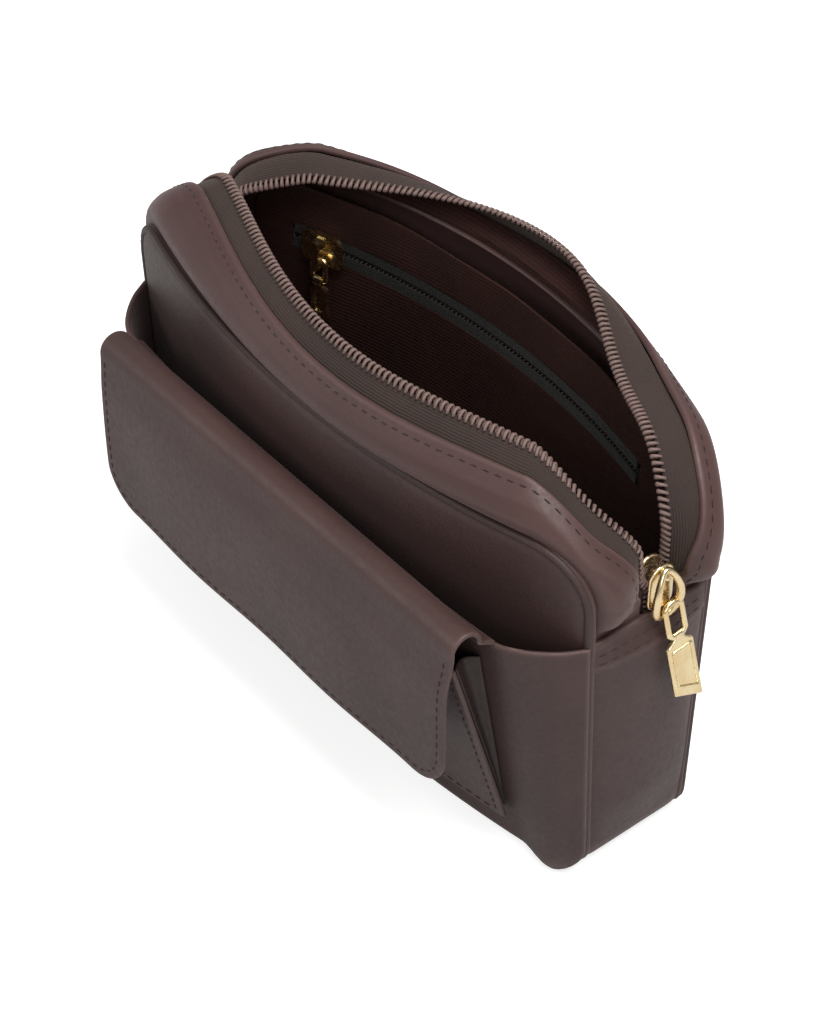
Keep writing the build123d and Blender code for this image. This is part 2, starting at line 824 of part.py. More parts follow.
inner_bar_up, inner_bar_out = pull_bar_place(inner_bar_reach)
inner_bar = inner_place + inner_outward * inner_bar_out + Vector(0, 0, inner_bar_up)
inner_link_frame = Plane(origin=inner_bar, x_dir=inner_along, z_dir=inner_outward)
with BuildPart() as inner_pull_link:
    add(pull_link(inner_link_frame, inner_link_drop, link_half_gap))
write(inner_pull_link, "inner_pull_link")

inner_tab_frame = Plane(
    origin=inner_bar - Vector(0, 0, inner_link_drop), x_dir=inner_along, z_dir=inner_outward
)
with BuildPart() as inner_pull_tab:
    add(pull_tab(inner_tab_frame, inner_tab_length, inner_tab_width, tab_slant))
write(inner_pull_tab, "inner_pull_tab")


# Belt loops on the rear panel ------------------------------------------------------------

def loop_section(x):
    """Side view of a belt loop at x: sewn flat at both ends, standing off between them."""
    def at(z, out):
        return wall_y(1, x, z) + out, z

    turn = 4.0
    inside = [
        at(loop_low, loop_seat), at(loop_low + loop_sewn, loop_seat),
        at(loop_low + loop_sewn + turn, loop_gap), at(loop_high - loop_sewn - turn, loop_gap),
        at(loop_high - loop_sewn, loop_seat), at(loop_high, loop_seat),
    ]
    outside = [
        at(loop_high, loop_seat + loop_thickness), at(loop_high - loop_sewn + 1, loop_seat + loop_thickness),
        at(loop_high - loop_sewn - turn + 1, loop_gap + loop_thickness),
        at(loop_low + loop_sewn + turn - 1, loop_gap + loop_thickness),
        at(loop_low + loop_sewn - 1, loop_seat + loop_thickness), at(loop_low, loop_seat + loop_thickness),
    ]
    return inside + outside


for name, direction in {"left": -1, "right": 1}.items():
    with BuildPart() as belt_loop:
        for offset in (-loop_width / 2, 0, loop_width / 2):
            x = direction * loop_centre + offset
            with BuildSketch(Plane.YZ.offset(x)):
                with BuildLine():
                    Polyline(*loop_section(x), close=True)
                make_face()
        loft(ruled=True)
    write(belt_loop, name + "_belt_loop")
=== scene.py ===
from math import pi, radians

import bpy
import numpy as np
from bpy.props import FloatProperty, FloatVectorProperty, IntProperty, PointerProperty
from bpy.types import Operator, Panel, PropertyGroup
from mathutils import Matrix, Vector


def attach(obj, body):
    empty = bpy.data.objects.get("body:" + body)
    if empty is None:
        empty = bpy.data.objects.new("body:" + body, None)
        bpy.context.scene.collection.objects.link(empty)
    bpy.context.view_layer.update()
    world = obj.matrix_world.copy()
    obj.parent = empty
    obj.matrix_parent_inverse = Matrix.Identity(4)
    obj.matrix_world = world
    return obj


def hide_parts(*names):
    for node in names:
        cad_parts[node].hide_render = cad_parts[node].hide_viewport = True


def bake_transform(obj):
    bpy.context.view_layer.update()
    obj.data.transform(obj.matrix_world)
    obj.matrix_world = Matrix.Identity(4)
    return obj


bl_info = {
    "name": "Leather belt pouch",
    "version": (1, 0, 0),
    "blender": (4, 5, 0),
    "location": "3D View > Sidebar > Pouch",
    "description": "Leather, lining, zips, stitching and hardware for a small belt pouch",
    "category": "Object",
}

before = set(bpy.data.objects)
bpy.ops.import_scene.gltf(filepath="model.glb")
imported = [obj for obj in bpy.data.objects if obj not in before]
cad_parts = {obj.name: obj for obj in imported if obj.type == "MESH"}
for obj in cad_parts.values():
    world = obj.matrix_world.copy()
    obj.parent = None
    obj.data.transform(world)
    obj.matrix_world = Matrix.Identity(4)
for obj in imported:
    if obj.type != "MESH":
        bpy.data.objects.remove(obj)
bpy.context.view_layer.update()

# Sizes in millimetres, as in the solid model ---------------------------------------------

MM = 0.001
HALF = 87.5
PANEL_HIGH = 106.0
MOUTH_HIGH = {-1: 123.5, 1: 119.0}
LEATHER = 1.4
LINING = 0.8
TAPE = 0.5
GUSSET_HIGH = 80.0
BOTTOM_CORNER = 9.0
PANEL_CORNER = 16.0
SLACK_CORNER = 24.0
SLACK_POWER = 1.4
FIRM_CORNER = 20.0
MOUTH_SPREAD = {-1: 25.0, 1: 38.0}
MOUTH_SKEW = {-1: 0.004, 1: 0.0025}
ZIP_SHIFT = 3.0
ZIP_PLANE = 85.3
ZIP_END = 74.0
CLOSED_ROW = 1.0
OPEN_ROW = 2.7
SLIDER_Z = 87.0
SLIDER_Y = 2.6
SEAM_TURN = PANEL_HIGH - PANEL_CORNER
FOLD_Y = -42.8
FOLD_Z = 83.5
FLAP_HALF = 71.0
FLAP_LOW = 36.0
FLAP_CORNER = 12.0
POCKET_HALF = 69.5
POCKET_LOW = 13.0
POCKET_HIGH = 74.0
INNER_ZIP_Z = 85.0
INNER_LEFT = -74.0
INNER_RIGHT = 54.0
INNER_HALF = 3.6
LOOP_X = 34.0
LOOP_WIDE = 26.0
SLIP_SHOULDER = 70.0
FRONT_SKEW = 3.5
FLAP_SKEW = 4.5
REAR_LINING = (-4.9, -7.9)
BAND_SWELL = {-1: 3.6, 1: 6.0}
TAPE_BY_SLIDER = 3.4
TAPE_WIDENS = {-1: 2.6, 1: 3.6}
TAPE_START, TAPE_REACH = 0.8, 10.0
INNER_TAPES = ((-4.4, -0.7), (0.7, 4.4))
INNER_TOOTH_PITCH = 1.4
WELT_INSET = 1.1
WELT_RADIUS = 1.05
STITCH = (2.1, 0.5, 0.36)
HEM_STITCH = (2.3, 0.5, 0.34)
LINING_STITCH = (2.2, 0.45, 0.3)
SHORT_STITCH_PITCH = 3.0
HEM_STITCH_PITCH = 2.9
ROD_SIDES = 6

PANEL_OUTLINE = (HALF, 0.0, PANEL_HIGH, BOTTOM_CORNER, PANEL_CORNER)
SLIP_OUTLINE = (HALF, 0.0, GUSSET_HIGH + 30, BOTTOM_CORNER, PANEL_CORNER)
SLIDER_OUTLINE = (3.9, -6.5, 6.5, 2.4, 3.4)

# The camera: its direction in degrees, its distance in metres, its aim in millimetres, and its
# lens and sensor in millimetres.
CAMERA_AZIMUTH = 50.98
CAMERA_ELEVATION = 42.47
CAMERA_DISTANCE = 0.7
CAMERA_AIM = (9.86, -6.69, 60.0)
LENS = 98.93
SENSOR = 36

MATERIALS = {}


# Numbers and surfaces --------------------------------------------------------------------

def unit(v):
    """Vectors of length one."""
    return v / np.maximum(np.linalg.norm(v, axis=-1, keepdims=True), 1e-12)


def smooth(x):
    """0 below 0, 1 above 1, and 3x squared less 2x cubed between."""
    x = np.clip(x, 0.0, 1.0)
    return x * x * (3 - 2 * x)


def least(first, *others):
    """The smallest of several arrays, place by place."""
    for other in others:
        first = np.minimum(first, other)
    return first


def grid(a, b):
    """Two lists of parameters as a grid of pairs."""
    return np.meshgrid(a, b, indexing="ij")


def apart(a, b):
    """Distances between the points of two rows."""
    return np.linalg.norm(b - a, axis=-1)


def stack(x, y, z):
    """Three arrays as points."""
    x, y, z = np.broadcast_arrays(x, y, z)
    return np.stack([x, y, z], -1).astype(float)


def ripple(a, b, seed, amount, wave):
    """A gentle unevenness: the sum of five sine waves of random direction and phase, with
    wavelengths from wave up to twice that."""
    rng = np.random.default_rng(seed)
    total = 0.0
    for _ in range(5):
        turn, phase, length = rng.uniform(0, 2 * pi), rng.uniform(0, 2 * pi), rng.uniform(1, 2) * wave
        total = total + np.sin((a * np.cos(turn) + b * np.sin(turn)) * 2 * pi / length + phase)
    return amount * total / 2.5


def graded(low, high, count, rim):
    """Numbers from low to high, closer together near both, with a few more inside the rim."""
    t = np.linspace(0, 1, count)
    t = 0.55 * t + 0.45 * (1 - np.cos(pi * t)) / 2
    near = rim * np.array([0.03, 0.12, 0.28, 0.5, 0.75])
    lines = np.concatenate([low + (high - low) * t, low + near, high - near])
    return np.unique(np.round(lines, 6))


def rim_depth(distance, thickness):
    """A sheet's thickness at a distance from its edge, where the edge is half a circle."""
    share = np.clip(distance / (thickness / 2), 0, 1)
    return thickness * np.sqrt(np.maximum(1 - (1 - share) ** 2, 0))


def inside_distance(x, z, half, low, high, low_corner, high_corner):
    """Distance inwards from the outline of a rounded rectangle that is centred on x = 0."""
    corner = np.where(z < (low + high) / 2, low_corner, high_corner)
    across = np.abs(x) - (half - corner)
    up = np.maximum(low + corner - z, z - (high - corner))
    outside = np.hypot(np.maximum(across, 0), np.maximum(up, 0))
    return np.maximum(corner - outside - np.minimum(np.maximum(across, up), 0), 0)


def half_at(z, half, low, high, low_corner, high_corner):
    """Half the width of that rounded rectangle at height z."""
    down = np.clip(low + low_corner - z, 0, low_corner)
    up = np.clip(z - (high - high_corner), 0, high_corner)
    return (
        half
        - (low_corner - np.sqrt(low_corner ** 2 - down ** 2))
        - (high_corner - np.sqrt(high_corner ** 2 - up ** 2))
    )


def rounded_grid(half, low, high, low_corner, high_corner, across, upward, rim):
    """x and z of a grid that fills a rounded rectangle: each row spans the width there."""
    z = graded(low, high, upward, rim)
    s = graded(-1, 1, across, rim / half)
    wide = half_at(z, half, low, high, low_corner, high_corner)
    return s[:, None] * wide[None, :], np.broadcast_to(z[None, :], (len(s), len(z)))


def bow(x, span, reach):
    """How far an arc over a half span stands out at x, when it stands out by reach at 0."""
    radius = (span ** 2 + reach ** 2) / (2 * reach)
    return reach - radius + np.sqrt(radius ** 2 - x ** 2)


def end_half_depth(z):
    """Half the pouch's depth at its ends, at height z."""
    return (33.0 + 7.0 * z / PANEL_HIGH) / 2


def wall_y(side, x, z, end_offset=0.0, middle_offset=None):
    """Y of a bulged wall: half the end's depth plus an arc over the width."""
    if middle_offset is None:
        middle_offset = end_offset
    low, high = (10.5, 15.0) if side < 0 else (19.0, 22.0)
    reach = low + (high - low) * z / PANEL_HIGH + middle_offset - end_offset
    return side * (end_half_depth(z) + end_offset + bow(x, HALF, reach))


def normals_of(surface, a, b, step=0.02):
    """Normals of a surface function, by differences along its two parameters."""
    along = surface(a + step, b) - surface(a - step, b)
    across = surface(a, b + step) - surface(a, b - step)
    return unit(np.cross(along, across))


# Meshes ----------------------------------------------------------------------------------

def mesh_object(name, points, quads, uv=None, finish=None, body="bag", replaces=(), slot=None):
    """A smooth mesh object from points in millimetres and four-sided faces. It has the finish
    of that name, rides on its body and stands for its nodes of the solid model."""
    mesh = bpy.data.meshes.new(name)
    mesh.vertices.add(len(points))
    mesh.vertices.foreach_set("co", (np.asarray(points) * MM).astype(np.float32).ravel())
    mesh.loops.add(quads.size)
    mesh.loops.foreach_set("vertex_index", quads.astype(np.int32).ravel())
    mesh.polygons.add(len(quads))
    mesh.polygons.foreach_set("loop_start", np.arange(0, quads.size, 4, dtype=np.int32))
    mesh.polygons.foreach_set("use_smooth", np.ones(len(quads), dtype=bool))
    if uv is not None:
        layer = mesh.uv_layers.new(name="Cut")
        layer.data.foreach_set("uv", (uv[quads.ravel()] * MM).astype(np.float32).ravel())
    mesh.update(calc_edges=True)
    mesh.validate()
    obj = bpy.data.objects.new(name, mesh)
    bpy.context.scene.collection.objects.link(obj)
    if finish is not None:
        mesh.materials.append(MATERIALS[finish])
    if body is not None:
        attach(obj, body)
    if replaces:
        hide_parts(*replaces)
    return obj


def grid_quads(nu, nv):
    """Faces of a grid of nu by nv points."""
    i = np.arange(nu * nv).reshape(nu, nv)
    return np.stack([i[:-1, :-1], i[1:, :-1], i[1:, 1:], i[:-1, 1:]], -1)


def lengths(mid):
    """Distances along both directions of a grid of points, for a flat cut's UV map."""
    u = np.zeros(mid.shape[:2])
    v = np.zeros(mid.shape[:2])
    u[1:] = np.cumsum(np.linalg.norm(np.diff(mid, axis=0), axis=-1), 0)
    v[:, 1:] = np.cumsum(np.linalg.norm(np.diff(mid, axis=1), axis=-1), 1)
    u -= u[len(u) // 2]
    return np.stack([u, v], -1)


def two_faced(name, mid, thickness, keep=None, **words):
    """A closed sheet: each point of the middle grid moved half the thickness along its normal
    one way and the other, and welded wherever the kept faces end."""
    nu, nv = mid.shape[:2]
    normal = unit(np.cross(np.gradient(mid, axis=0), np.gradient(mid, axis=1)))
    quads = grid_quads(nu, nv)
    quads = quads.reshape(-1, 4) if keep is None else quads[keep]
    total = nu * nv
    border = np.bincount(quads.ravel(), minlength=total) < 4
    depth = np.where(border.reshape(nu, nv), 0.0, thickness)[..., None]
    points = np.concatenate([
        (mid + normal * depth / 2).reshape(-1, 3), (mid - normal * depth / 2).reshape(-1, 3)
    ])
    under = np.where(border, np.arange(total), np.arange(total) + total)
    faces = np.concatenate([quads, under[quads[:, ::-1]]])
    uv = np.tile(lengths(mid).reshape(-1, 2), (2, 1))
    used, faces = np.unique(faces, return_inverse=True)
    return mesh_object(name, points[used], faces.reshape(-1, 4), uv=uv[used], **words)


def wall_sheet(name, surface, a, b, distance, thickness, **words):
    """A closed sheet over the grid of parameters a and b, with a rounded edge."""
    return two_faced(name, surface(a, b), rim_depth(distance, thickness), **words)


def rod_faces(rings):
    """Faces of a six-sided rod through a number of rings, closed at both ends."""
    i = np.arange(rings * ROD_SIDES).reshape(rings, ROD_SIDES)
    j = np.roll(i, -1, axis=1)
    body = np.stack([i[:-1], j[:-1], j[1:], i[1:]], -1).reshape(-1, 4)
    first, last = i[0], i[-1]
    ends = [first[[0, 3, 2, 1]], first[[0, 5, 4, 3]], last[[0, 1, 2, 3]], last[[0, 3, 4, 5]]]
    return np.concatenate([body, ends])


def capsule(length, width, height, rings=5):
    """A small rounded rod along its first axis: rings of points, wider in the middle."""
    t = np.linspace(-1, 1, rings)
    swell = np.sqrt(np.maximum(1 - np.abs(t) ** 3, 0.02))
    turn = np.arange(ROD_SIDES) * 2 * pi / ROD_SIDES
    x = np.repeat(t * length / 2, ROD_SIDES)
    y = (swell[:, None] * np.cos(turn) * width / 2).ravel()
    z = (swell[:, None] * np.sin(turn) * height / 2).ravel()
    return np.stack([x, y, z], -1), rod_faces(rings)


def repeated(shape, origins, along, across, normal):
    """Copies of a small shape, each in its own frame, as one set of points and faces."""
    points, faces = shape
    placed = (
        origins[:, None]
        + points[None, :, :1] * along[:, None]
        + points[None, :, 1:2] * across[:, None]
        + points[None, :, 2:] * normal[:, None]
    )
    shift = np.arange(len(origins))[:, None, None] * len(points)
    return placed.reshape(-1, 3), (faces[None] + shift).reshape(-1, 4)


def joined(parts):
    """Several sets of points and faces as one."""
    points, faces, shift = [], [], 0
    for p, f in parts:
        points.append(p)
        faces.append(f + shift)
        shift += len(p)
    return np.concatenate(points), np.concatenate(faces)


def resampled(path, pitch, start=0.5):
    """Places about a pitch apart along a path, each as a number of the path's own steps."""
    gone = np.concatenate([[0], np.cumsum(np.linalg.norm(np.diff(path, axis=0), axis=-1))])
    count = max(int((gone[-1] - pitch * start) / pitch), 1)
    at = (np.arange(count) + start) * (gone[-1] / (count + start))
    return np.interp(at, gone, np.arange(len(path)))


def along_path(values, steps):
    """Values given at the whole steps of a path, read between them."""
    low = np.clip(np.floor(steps).astype(int), 0, len(values) - 2)
    share = (steps - low)[:, None]
    return values[low] * (1 - share) + values[low + 1] * share


def stitch_row(surface, a, b, pitch, lift, shape):
    """Stitches on a surface, along the line of its parameters a and b, lifted off it."""
    path = surface(a, b)
    normal = normals_of(surface, a, b)
    steps = resampled(path, pitch)
    origin = along_path(path, steps)
    up = unit(along_path(normal, steps))
    ahead = unit(along_path(path, np.minimum(steps + 0.5, len(path) - 1.001))
                 - along_path(path, np.maximum(steps - 0.5, 0)))
    side = unit(np.cross(up, ahead))
    lifts = np.broadcast_to(lift, steps.shape)[:, None]
    return repeated(shape, origin + up * lifts, ahead, side, np.cross(ahead, side))


def mirrored(surface, end=0):
    """A surface whose first parameter runs back from an end, so stitches face outwards."""
    def turned(a, b):
        return surface(end - a, b)
    return turned


def stitched_box(surface, left, right, low, high, counts, lift, shape):
    """Rows of stitches along the lower and upper edge of a box, and then along its sides."""
    across, up = np.linspace(left, right, counts[0]), np.linspace(low, high, counts[1])
    rows = [
        stitch_row(surface, across, np.full(counts[0], at), SHORT_STITCH_PITCH, lift, shape)
        for at in (low, high)
    ]
    return rows + [
        stitch_row(surface, np.full(counts[1], at), up, SHORT_STITCH_PITCH, lift, shape)
        for at in (left, right)
    ]


def add_stitches(name, rows, finish, body="bag"):
    """Rows of stitches as one piece."""
    points, faces = joined(rows)
    mesh_object(name, points, faces, finish=finish, body=body)


def tube(path, radius, sides=10, closed=False):
    """A tube round a path: a ring of points at each step, square to it, with no twist."""
    path = np.asarray(path, float)
    if closed:
        ahead = unit(np.roll(path, -1, 0) - np.roll(path, 1, 0))
    else:
        ahead = unit(np.gradient(path, axis=0))
    guide = np.array([0.31, 0.17, 0.93])
    one = unit(np.cross(ahead, guide))
    two = np.cross(ahead, one)
    turn = np.arange(sides) * 2 * pi / sides
    ring = one[:, None] * np.cos(turn)[None, :, None] + two[:, None] * np.sin(turn)[None, :, None]
    points = path[:, None] + ring * np.broadcast_to(radius, (len(path),))[:, None, None]
    i = np.arange(points.shape[0] * sides).reshape(-1, sides)
    j = np.roll(i, -1, axis=1)
    if closed:
        k, m = np.roll(i, -1, axis=0), np.roll(j, -1, axis=0)
        faces = np.stack([i, j, m, k], -1).reshape(-1, 4)
    else:
        faces = np.stack([i[:-1], j[:-1], j[1:], i[1:]], -1).reshape(-1, 4)
    return points.reshape(-1, 3), faces


# Surfaces of the pouch -------------------------------------------------------------------

def panel_surface(side):
    """Middle of a front or rear panel: the bulged wall, rolled inwards at its edge by
    exp(-(distance / 2.2) squared), with a gentle unevenness."""
    def surface(x, z):
        d = inside_distance(x, z, *PANEL_OUTLINE)
        under = smooth((GUSSET_HIGH + 1 - z) / 6) if side < 0 else 0.0
        roll = (1.2 - 0.1 * under) * np.exp(-((d / 2.2) ** 2))
        soft = ripple(x, z, 3 if side < 0 else 4, 0.35, 60.0) * smooth(d / 12)
        return stack(x, wall_y(side, x, z, -LEATHER / 2) - side * (roll - soft), z)
    return surface


def outline_point(p):
    """x, z and outward normal of the U that the gusset follows, p millimetres along it from
    the top of the right end, under the pouch, to the top of the left end."""
    rise = GUSSET_HIGH - BOTTOM_CORNER
    arc = pi / 2 * BOTTOM_CORNER
    flat = 2 * (HALF - BOTTOM_CORNER)
    total = 2 * rise + 2 * arc + flat
    left = p > total / 2
    q = np.where(left, total - p, p)
    turn = np.clip((q - rise) / BOTTOM_CORNER, 0, pi / 2)
    x = np.where(
        q < rise + arc, HALF - BOTTOM_CORNER * (1 - np.cos(turn)),
        HALF - BOTTOM_CORNER - (q - rise - arc),
    )
    z = np.where(q < rise, GUSSET_HIGH - q, BOTTOM_CORNER * (1 - np.sin(turn)))
    sign = np.where(left, -1.0, 1.0)
    return x * sign, z, np.cos(turn) * sign, -np.sin(turn), total


def gusset_surface(p, v):
    """Middle of the gusset: v runs from the front seam to the rear one. It bellies outwards at
    the ends by a sine, and rolls inwards along both seams."""
    x, z, nx, nz, total = outline_point(p)
    front = wall_y(-1, x, z, -0.4)
    rear = wall_y(1, x, z, -0.4)
    wide = rear - front
    d = np.minimum(v, 1 - v) * wide
    roll = 0.8 * np.exp(-((d / 2.4) ** 2))
    upright = np.abs(nx) * smooth((np.minimum(p, total - p)) / 10)
    belly = 2.6 * np.sin(pi * v) * upright * smooth((z - 4) / 20)
    out = -LEATHER / 2 - roll + belly
    return stack(x + nx * out, front + wide * v, z + nz * out)


GUSSET_LONG = float(outline_point(np.array(0.0))[4])


# Where the slack rims of the mouth leave their even curve. Each bend has its place along the
# rim from the zip's right end, its reach, and how far it pulls the rim backwards and up.
RIM_BENDS = {
    -1: (
        (44.0, 28.0, -5.0, -4.0),   # right corner slumps forwards
        (224.0, 28.0, -4.0, -2.0),   # left corner does the same, less
    ),
    1: (
        (78.0, 24.0, -6.0, -4.0),   # right shoulder is pushed in
        (150.0, 36.0, 3.0, -3.0),   # back stands out past the middle
        (195.0, 30.0, 0.0, -7.0),   # left shoulder droops
    ),
}


def rim_wander(side, along):
    """How far a rim strays from its even curve, sideways and upwards: the sum of its bends,
    each a bell curve round its place."""
    sideways, up = 0.0 * along, 0.0 * along
    for place, reach, shift, lift in RIM_BENDS[side]:
        bell = np.exp(-(((along - place) / reach) ** 2))
        sideways = sideways + shift * bell
        up = up + lift * bell
    return sideways, up


def band_lines(side, s):
    """Seam point and row-of-teeth point of one side of the zip's band. s runs 0 to 1 up the
    right end, to 2 round its corner, to 3 along the top, and back down the left end to 5."""
    q = np.minimum(s, 5 - s)
    right = s <= 2.5
    sign = np.where(right, 1.0, -1.0)
    firm = right & (side > 0)
    corner = np.where(firm, FIRM_CORNER, SLACK_CORNER)
    power = np.where(firm, 1.0, SLACK_POWER)
    row_turn = MOUTH_HIGH[side] - corner
    rise = np.clip(q, 0, 1)
    turn = np.clip(q - 1, 0, 1) * pi / 2
    cosine, sine = np.maximum(np.cos(turn), 0) ** power, np.sin(turn) ** power
    upright = ZIP_END + rise * (row_turn - ZIP_END)
    row_z = upright + corner * sine
    seam_z = ZIP_END + rise * (SEAM_TURN - ZIP_END) + (PANEL_CORNER - 1.5) * np.sin(turn)
    row_x = sign * (ZIP_PLANE - corner * (1 - cosine))
    seam_x = sign * (ZIP_PLANE - PANEL_CORNER * (1 - np.cos(turn)))
    over = np.clip(s - 2, 0, 1)
    top = (s >= 2) & (s <= 3)
    ends = [ZIP_PLANE - (FIRM_CORNER if side > 0 else SLACK_CORNER), -ZIP_PLANE + SLACK_CORNER]
    row_x = np.where(top, ends[0] + (ends[1] - ends[0]) * over, row_x)
    seam_x = np.where(top, (ZIP_PLANE - PANEL_CORNER) * (1 - 2 * over), seam_x)
    parted = smooth((upright - SLIDER_Z + 1) / 4)
    row = CLOSED_ROW + (OPEN_ROW - CLOSED_ROW) * parted
    share = row_x / ZIP_PLANE
    spread = MOUTH_SPREAD[side] * (1 + MOUTH_SKEW[side] * row_x) * np.maximum(0, 1 - share ** 2) ** 1.3
    seam = stack(seam_x, wall_y(side, seam_x, seam_z, -2.5), seam_z)
    lifted = row_z - upright
    first = FIRM_CORNER if side > 0 else SLACK_CORNER
    ends_gone = np.where(right, 20 * rise + lifted, 20 + first + SLACK_CORNER - lifted + 20 * (1 - rise))
    stray_y, stray_z = rim_wander(side, ends_gone + ZIP_PLANE - row_x)
    teeth = stack(row_x, side * (row + spread) + ZIP_SHIFT * share ** 2 + stray_y, row_z + stray_z)
    return seam, teeth


def band_axes(side, s):
    """Seam and row points with the band's outward normal between them."""
    step = 0.01
    seam, row = band_lines(side, s)
    low = band_lines(side, np.clip(s - step, 0, 5))
    high = band_lines(side, np.clip(s + step, 0, 5))
    along = unit(high[0] + high[1] - low[0] - low[1])
    across = unit(row - seam)
    return seam, row, unit(np.cross(across, along)) * -side


def band_swell(side, s, u):
    """How far the whole band stands out of the flat one: a sine from the seam (u 0) to the
    teeth (u 1), fading where the gusset holds the band's ends."""
    row = band_lines(side, s)[1]
    return BAND_SWELL[side] * np.sin(pi * np.clip(u, 0, 1) ** 0.85) * smooth((row[..., 2] - 81.0) / 14)


def tape_shown(side, height):
    """Width of tape between the strip and the teeth: narrow by the slider, wider on top."""
    return TAPE_BY_SLIDER + TAPE_WIDENS[side] * smooth((height - 92) / 20)


def strip_surface(side):
    """Middle of the leather strip: t runs from the seam to its edge on the tape. It follows
    the band's swell, with a rounder shoulder beside the seam."""
    def surface(s, t):
        seam, row, out = band_axes(side, s)
        wide = apart(seam, row)
        reach = (wide - tape_shown(side, row[..., 2])) * t
        high = seam[..., 2] + (row[..., 2] - seam[..., 2]) * t
        shoulder = 2.0 * smooth(t * 3.5) * (1 - smooth(t * 1.3 - 0.3)) - 1.0 * (1 - smooth(t * 5))
        soft = ripple(s * 40, t * 10, 7 + side, 0.3, 30.0) * smooth((high - 86) / 10)
        swell = band_swell(side, s, reach / wide) + shoulder * smooth((high - 81.5) / 5) + soft
        return seam + unit(row - seam) * reach[..., None] + out * swell[..., None]
    return surface


def tape_surface(side, lift=-1.05):
    """Middle of the zip's tape: t is millimetres short of the middle of the teeth."""
    def surface(s, t):
        seam, row, out = band_axes(side, s)
        wide = apart(seam, row)
        swell = band_swell(side, s, 1 - t / wide) + lift
        return row - unit(row - seam) * np.asarray(t)[..., None] + out * swell[..., None]
    return surface


def slip_y(x, z):
    """Y of the slip pocket's outer face between its shoulders."""
    share = (z - 2.0) / (GUSSET_HIGH - 2.0)
    shoulder = 22.6 + (35.5 - 22.6) * share
    middle = 28.9 + (38.9 - 28.9) * share
    return -shoulder - bow(np.minimum(np.abs(x), 74), SLIP_SHOULDER, middle - shoulder)


def slip_surface(x, z):
    """Middle of the slip pocket: an arc between its shoulders, then a cubic down to each side
    seam."""
    run = HALF - SLIP_SHOULDER
    t = np.clip((np.abs(x) - SLIP_SHOULDER) / run, 0, 1)
    start = slip_y(np.minimum(np.abs(x), SLIP_SHOULDER), z)
    slope = slip_y(SLIP_SHOULDER, z) - slip_y(SLIP_SHOULDER - 1, z)
    end = -end_half_depth(z) - LEATHER - 0.1
    curve = (
        (2 * t ** 3 - 3 * t ** 2 + 1) * start + (t ** 3 - 2 * t ** 2 + t) * run * slope
        + (3 * t ** 2 - 2 * t ** 3) * end + (t ** 3 - t ** 2) * run * 1.5
    )
    y = np.where(np.abs(x) < SLIP_SHOULDER, start, curve) + LEATHER / 2
    d = inside_distance(x, z, *SLIP_OUTLINE)
    roll = 1.2 * np.exp(-((d / 2.0) ** 2))
    return stack(x, y + roll, z)


def pocket_faces(z):
    """Y of the flap pocket's inner face at its sides and at its middle, at height z."""
    share = (z - POCKET_LOW) / (POCKET_HIGH - POCKET_LOW)
    low_side, low_middle = slip_y(SLIP_SHOULDER, POCKET_LOW), slip_y(0.0, POCKET_LOW)
    side = low_side + (2.7 - 44.4 - low_side) * share
    middle = low_middle + (2.7 - 45.4 - low_middle) * share
    return side - 1.3, middle - 1.3


def left_share(x):
    """0 over the middle and the right of the flap pocket, rising to 1 at its left end."""
    return smooth((-x - 25) / 46)


def pocket_surface(x, z):
    """Middle of the flap pocket's front, a shallow arc at each height."""
    side, middle = pocket_faces(z)
    y = side - bow(x, SLIP_SHOULDER, side - middle) - LEATHER / 2
    return stack(x + FRONT_SKEW * left_share(x), y, z)


FLAP_ROUND = 3.95
FLAP_RISE = 3.5
FLAP_HANG = FOLD_Z - FLAP_LOW
FLAP_LONG = FLAP_RISE + pi * FLAP_ROUND + FLAP_HANG


def flap_surface(x, s):
    """Middle of the flap: s runs from its root at the slip pocket's top edge, up a short rise,
    over the fold's half circle and down to the lower edge."""
    root = slip_y(x, GUSSET_HIGH) + LEATHER / 2
    rise = np.clip(s / FLAP_RISE, 0, 1)
    turn = np.clip((s - FLAP_RISE) / FLAP_ROUND, 0, pi)
    hang = np.maximum(s - FLAP_RISE - pi * FLAP_ROUND, 0)
    y_over = FOLD_Y + FLAP_ROUND * np.cos(turn)
    y = np.where(s < FLAP_RISE, root + (FOLD_Y + FLAP_ROUND - root) * smooth(rise), y_over)
    z = np.where(s < FLAP_RISE, GUSSET_HIGH + 0.2 + (FOLD_Z - GUSSET_HIGH - 0.2) * rise,
                 FOLD_Z + FLAP_ROUND * np.sin(turn) - hang)
    share = hang / FLAP_HANG
    x = x + FLAP_SKEW * left_share(x) + 1.8 * smooth((x - 45) / 26) * (1 - smooth(share * 2.5))
    drape = 0.55 * smooth(share * 4) + 0.9 * smooth(share) * (
        0.5 - 0.5 * np.cos(x / FLAP_HALF * 2.4 * pi)
    )
    crown = 1.4 * np.sin(pi * np.clip(share, 0, 1)) * np.cos(x / FLAP_HALF * pi / 2)
    soft = ripple(x, s, 11, 0.3, 45.0) * smooth(share * 3)
    return stack(x, y - drape - crown - soft, z)


# Materials -------------------------------------------------------------------------------

def node_group(name, inputs, outputs):
    """An empty shader node group with named sockets; each is (name, kind, default)."""
    group = bpy.data.node_groups.new(name, "ShaderNodeTree")
    for label, kind, default in inputs:
        socket = group.interface.new_socket(name=label, in_out="INPUT", socket_type=kind)
        if default is not None:
            socket.default_value = default
    for label, kind in outputs:
        group.interface.new_socket(name=label, in_out="OUTPUT", socket_type=kind)
    return group, group.nodes.new("NodeGroupInput"), group.nodes.new("NodeGroupOutput")


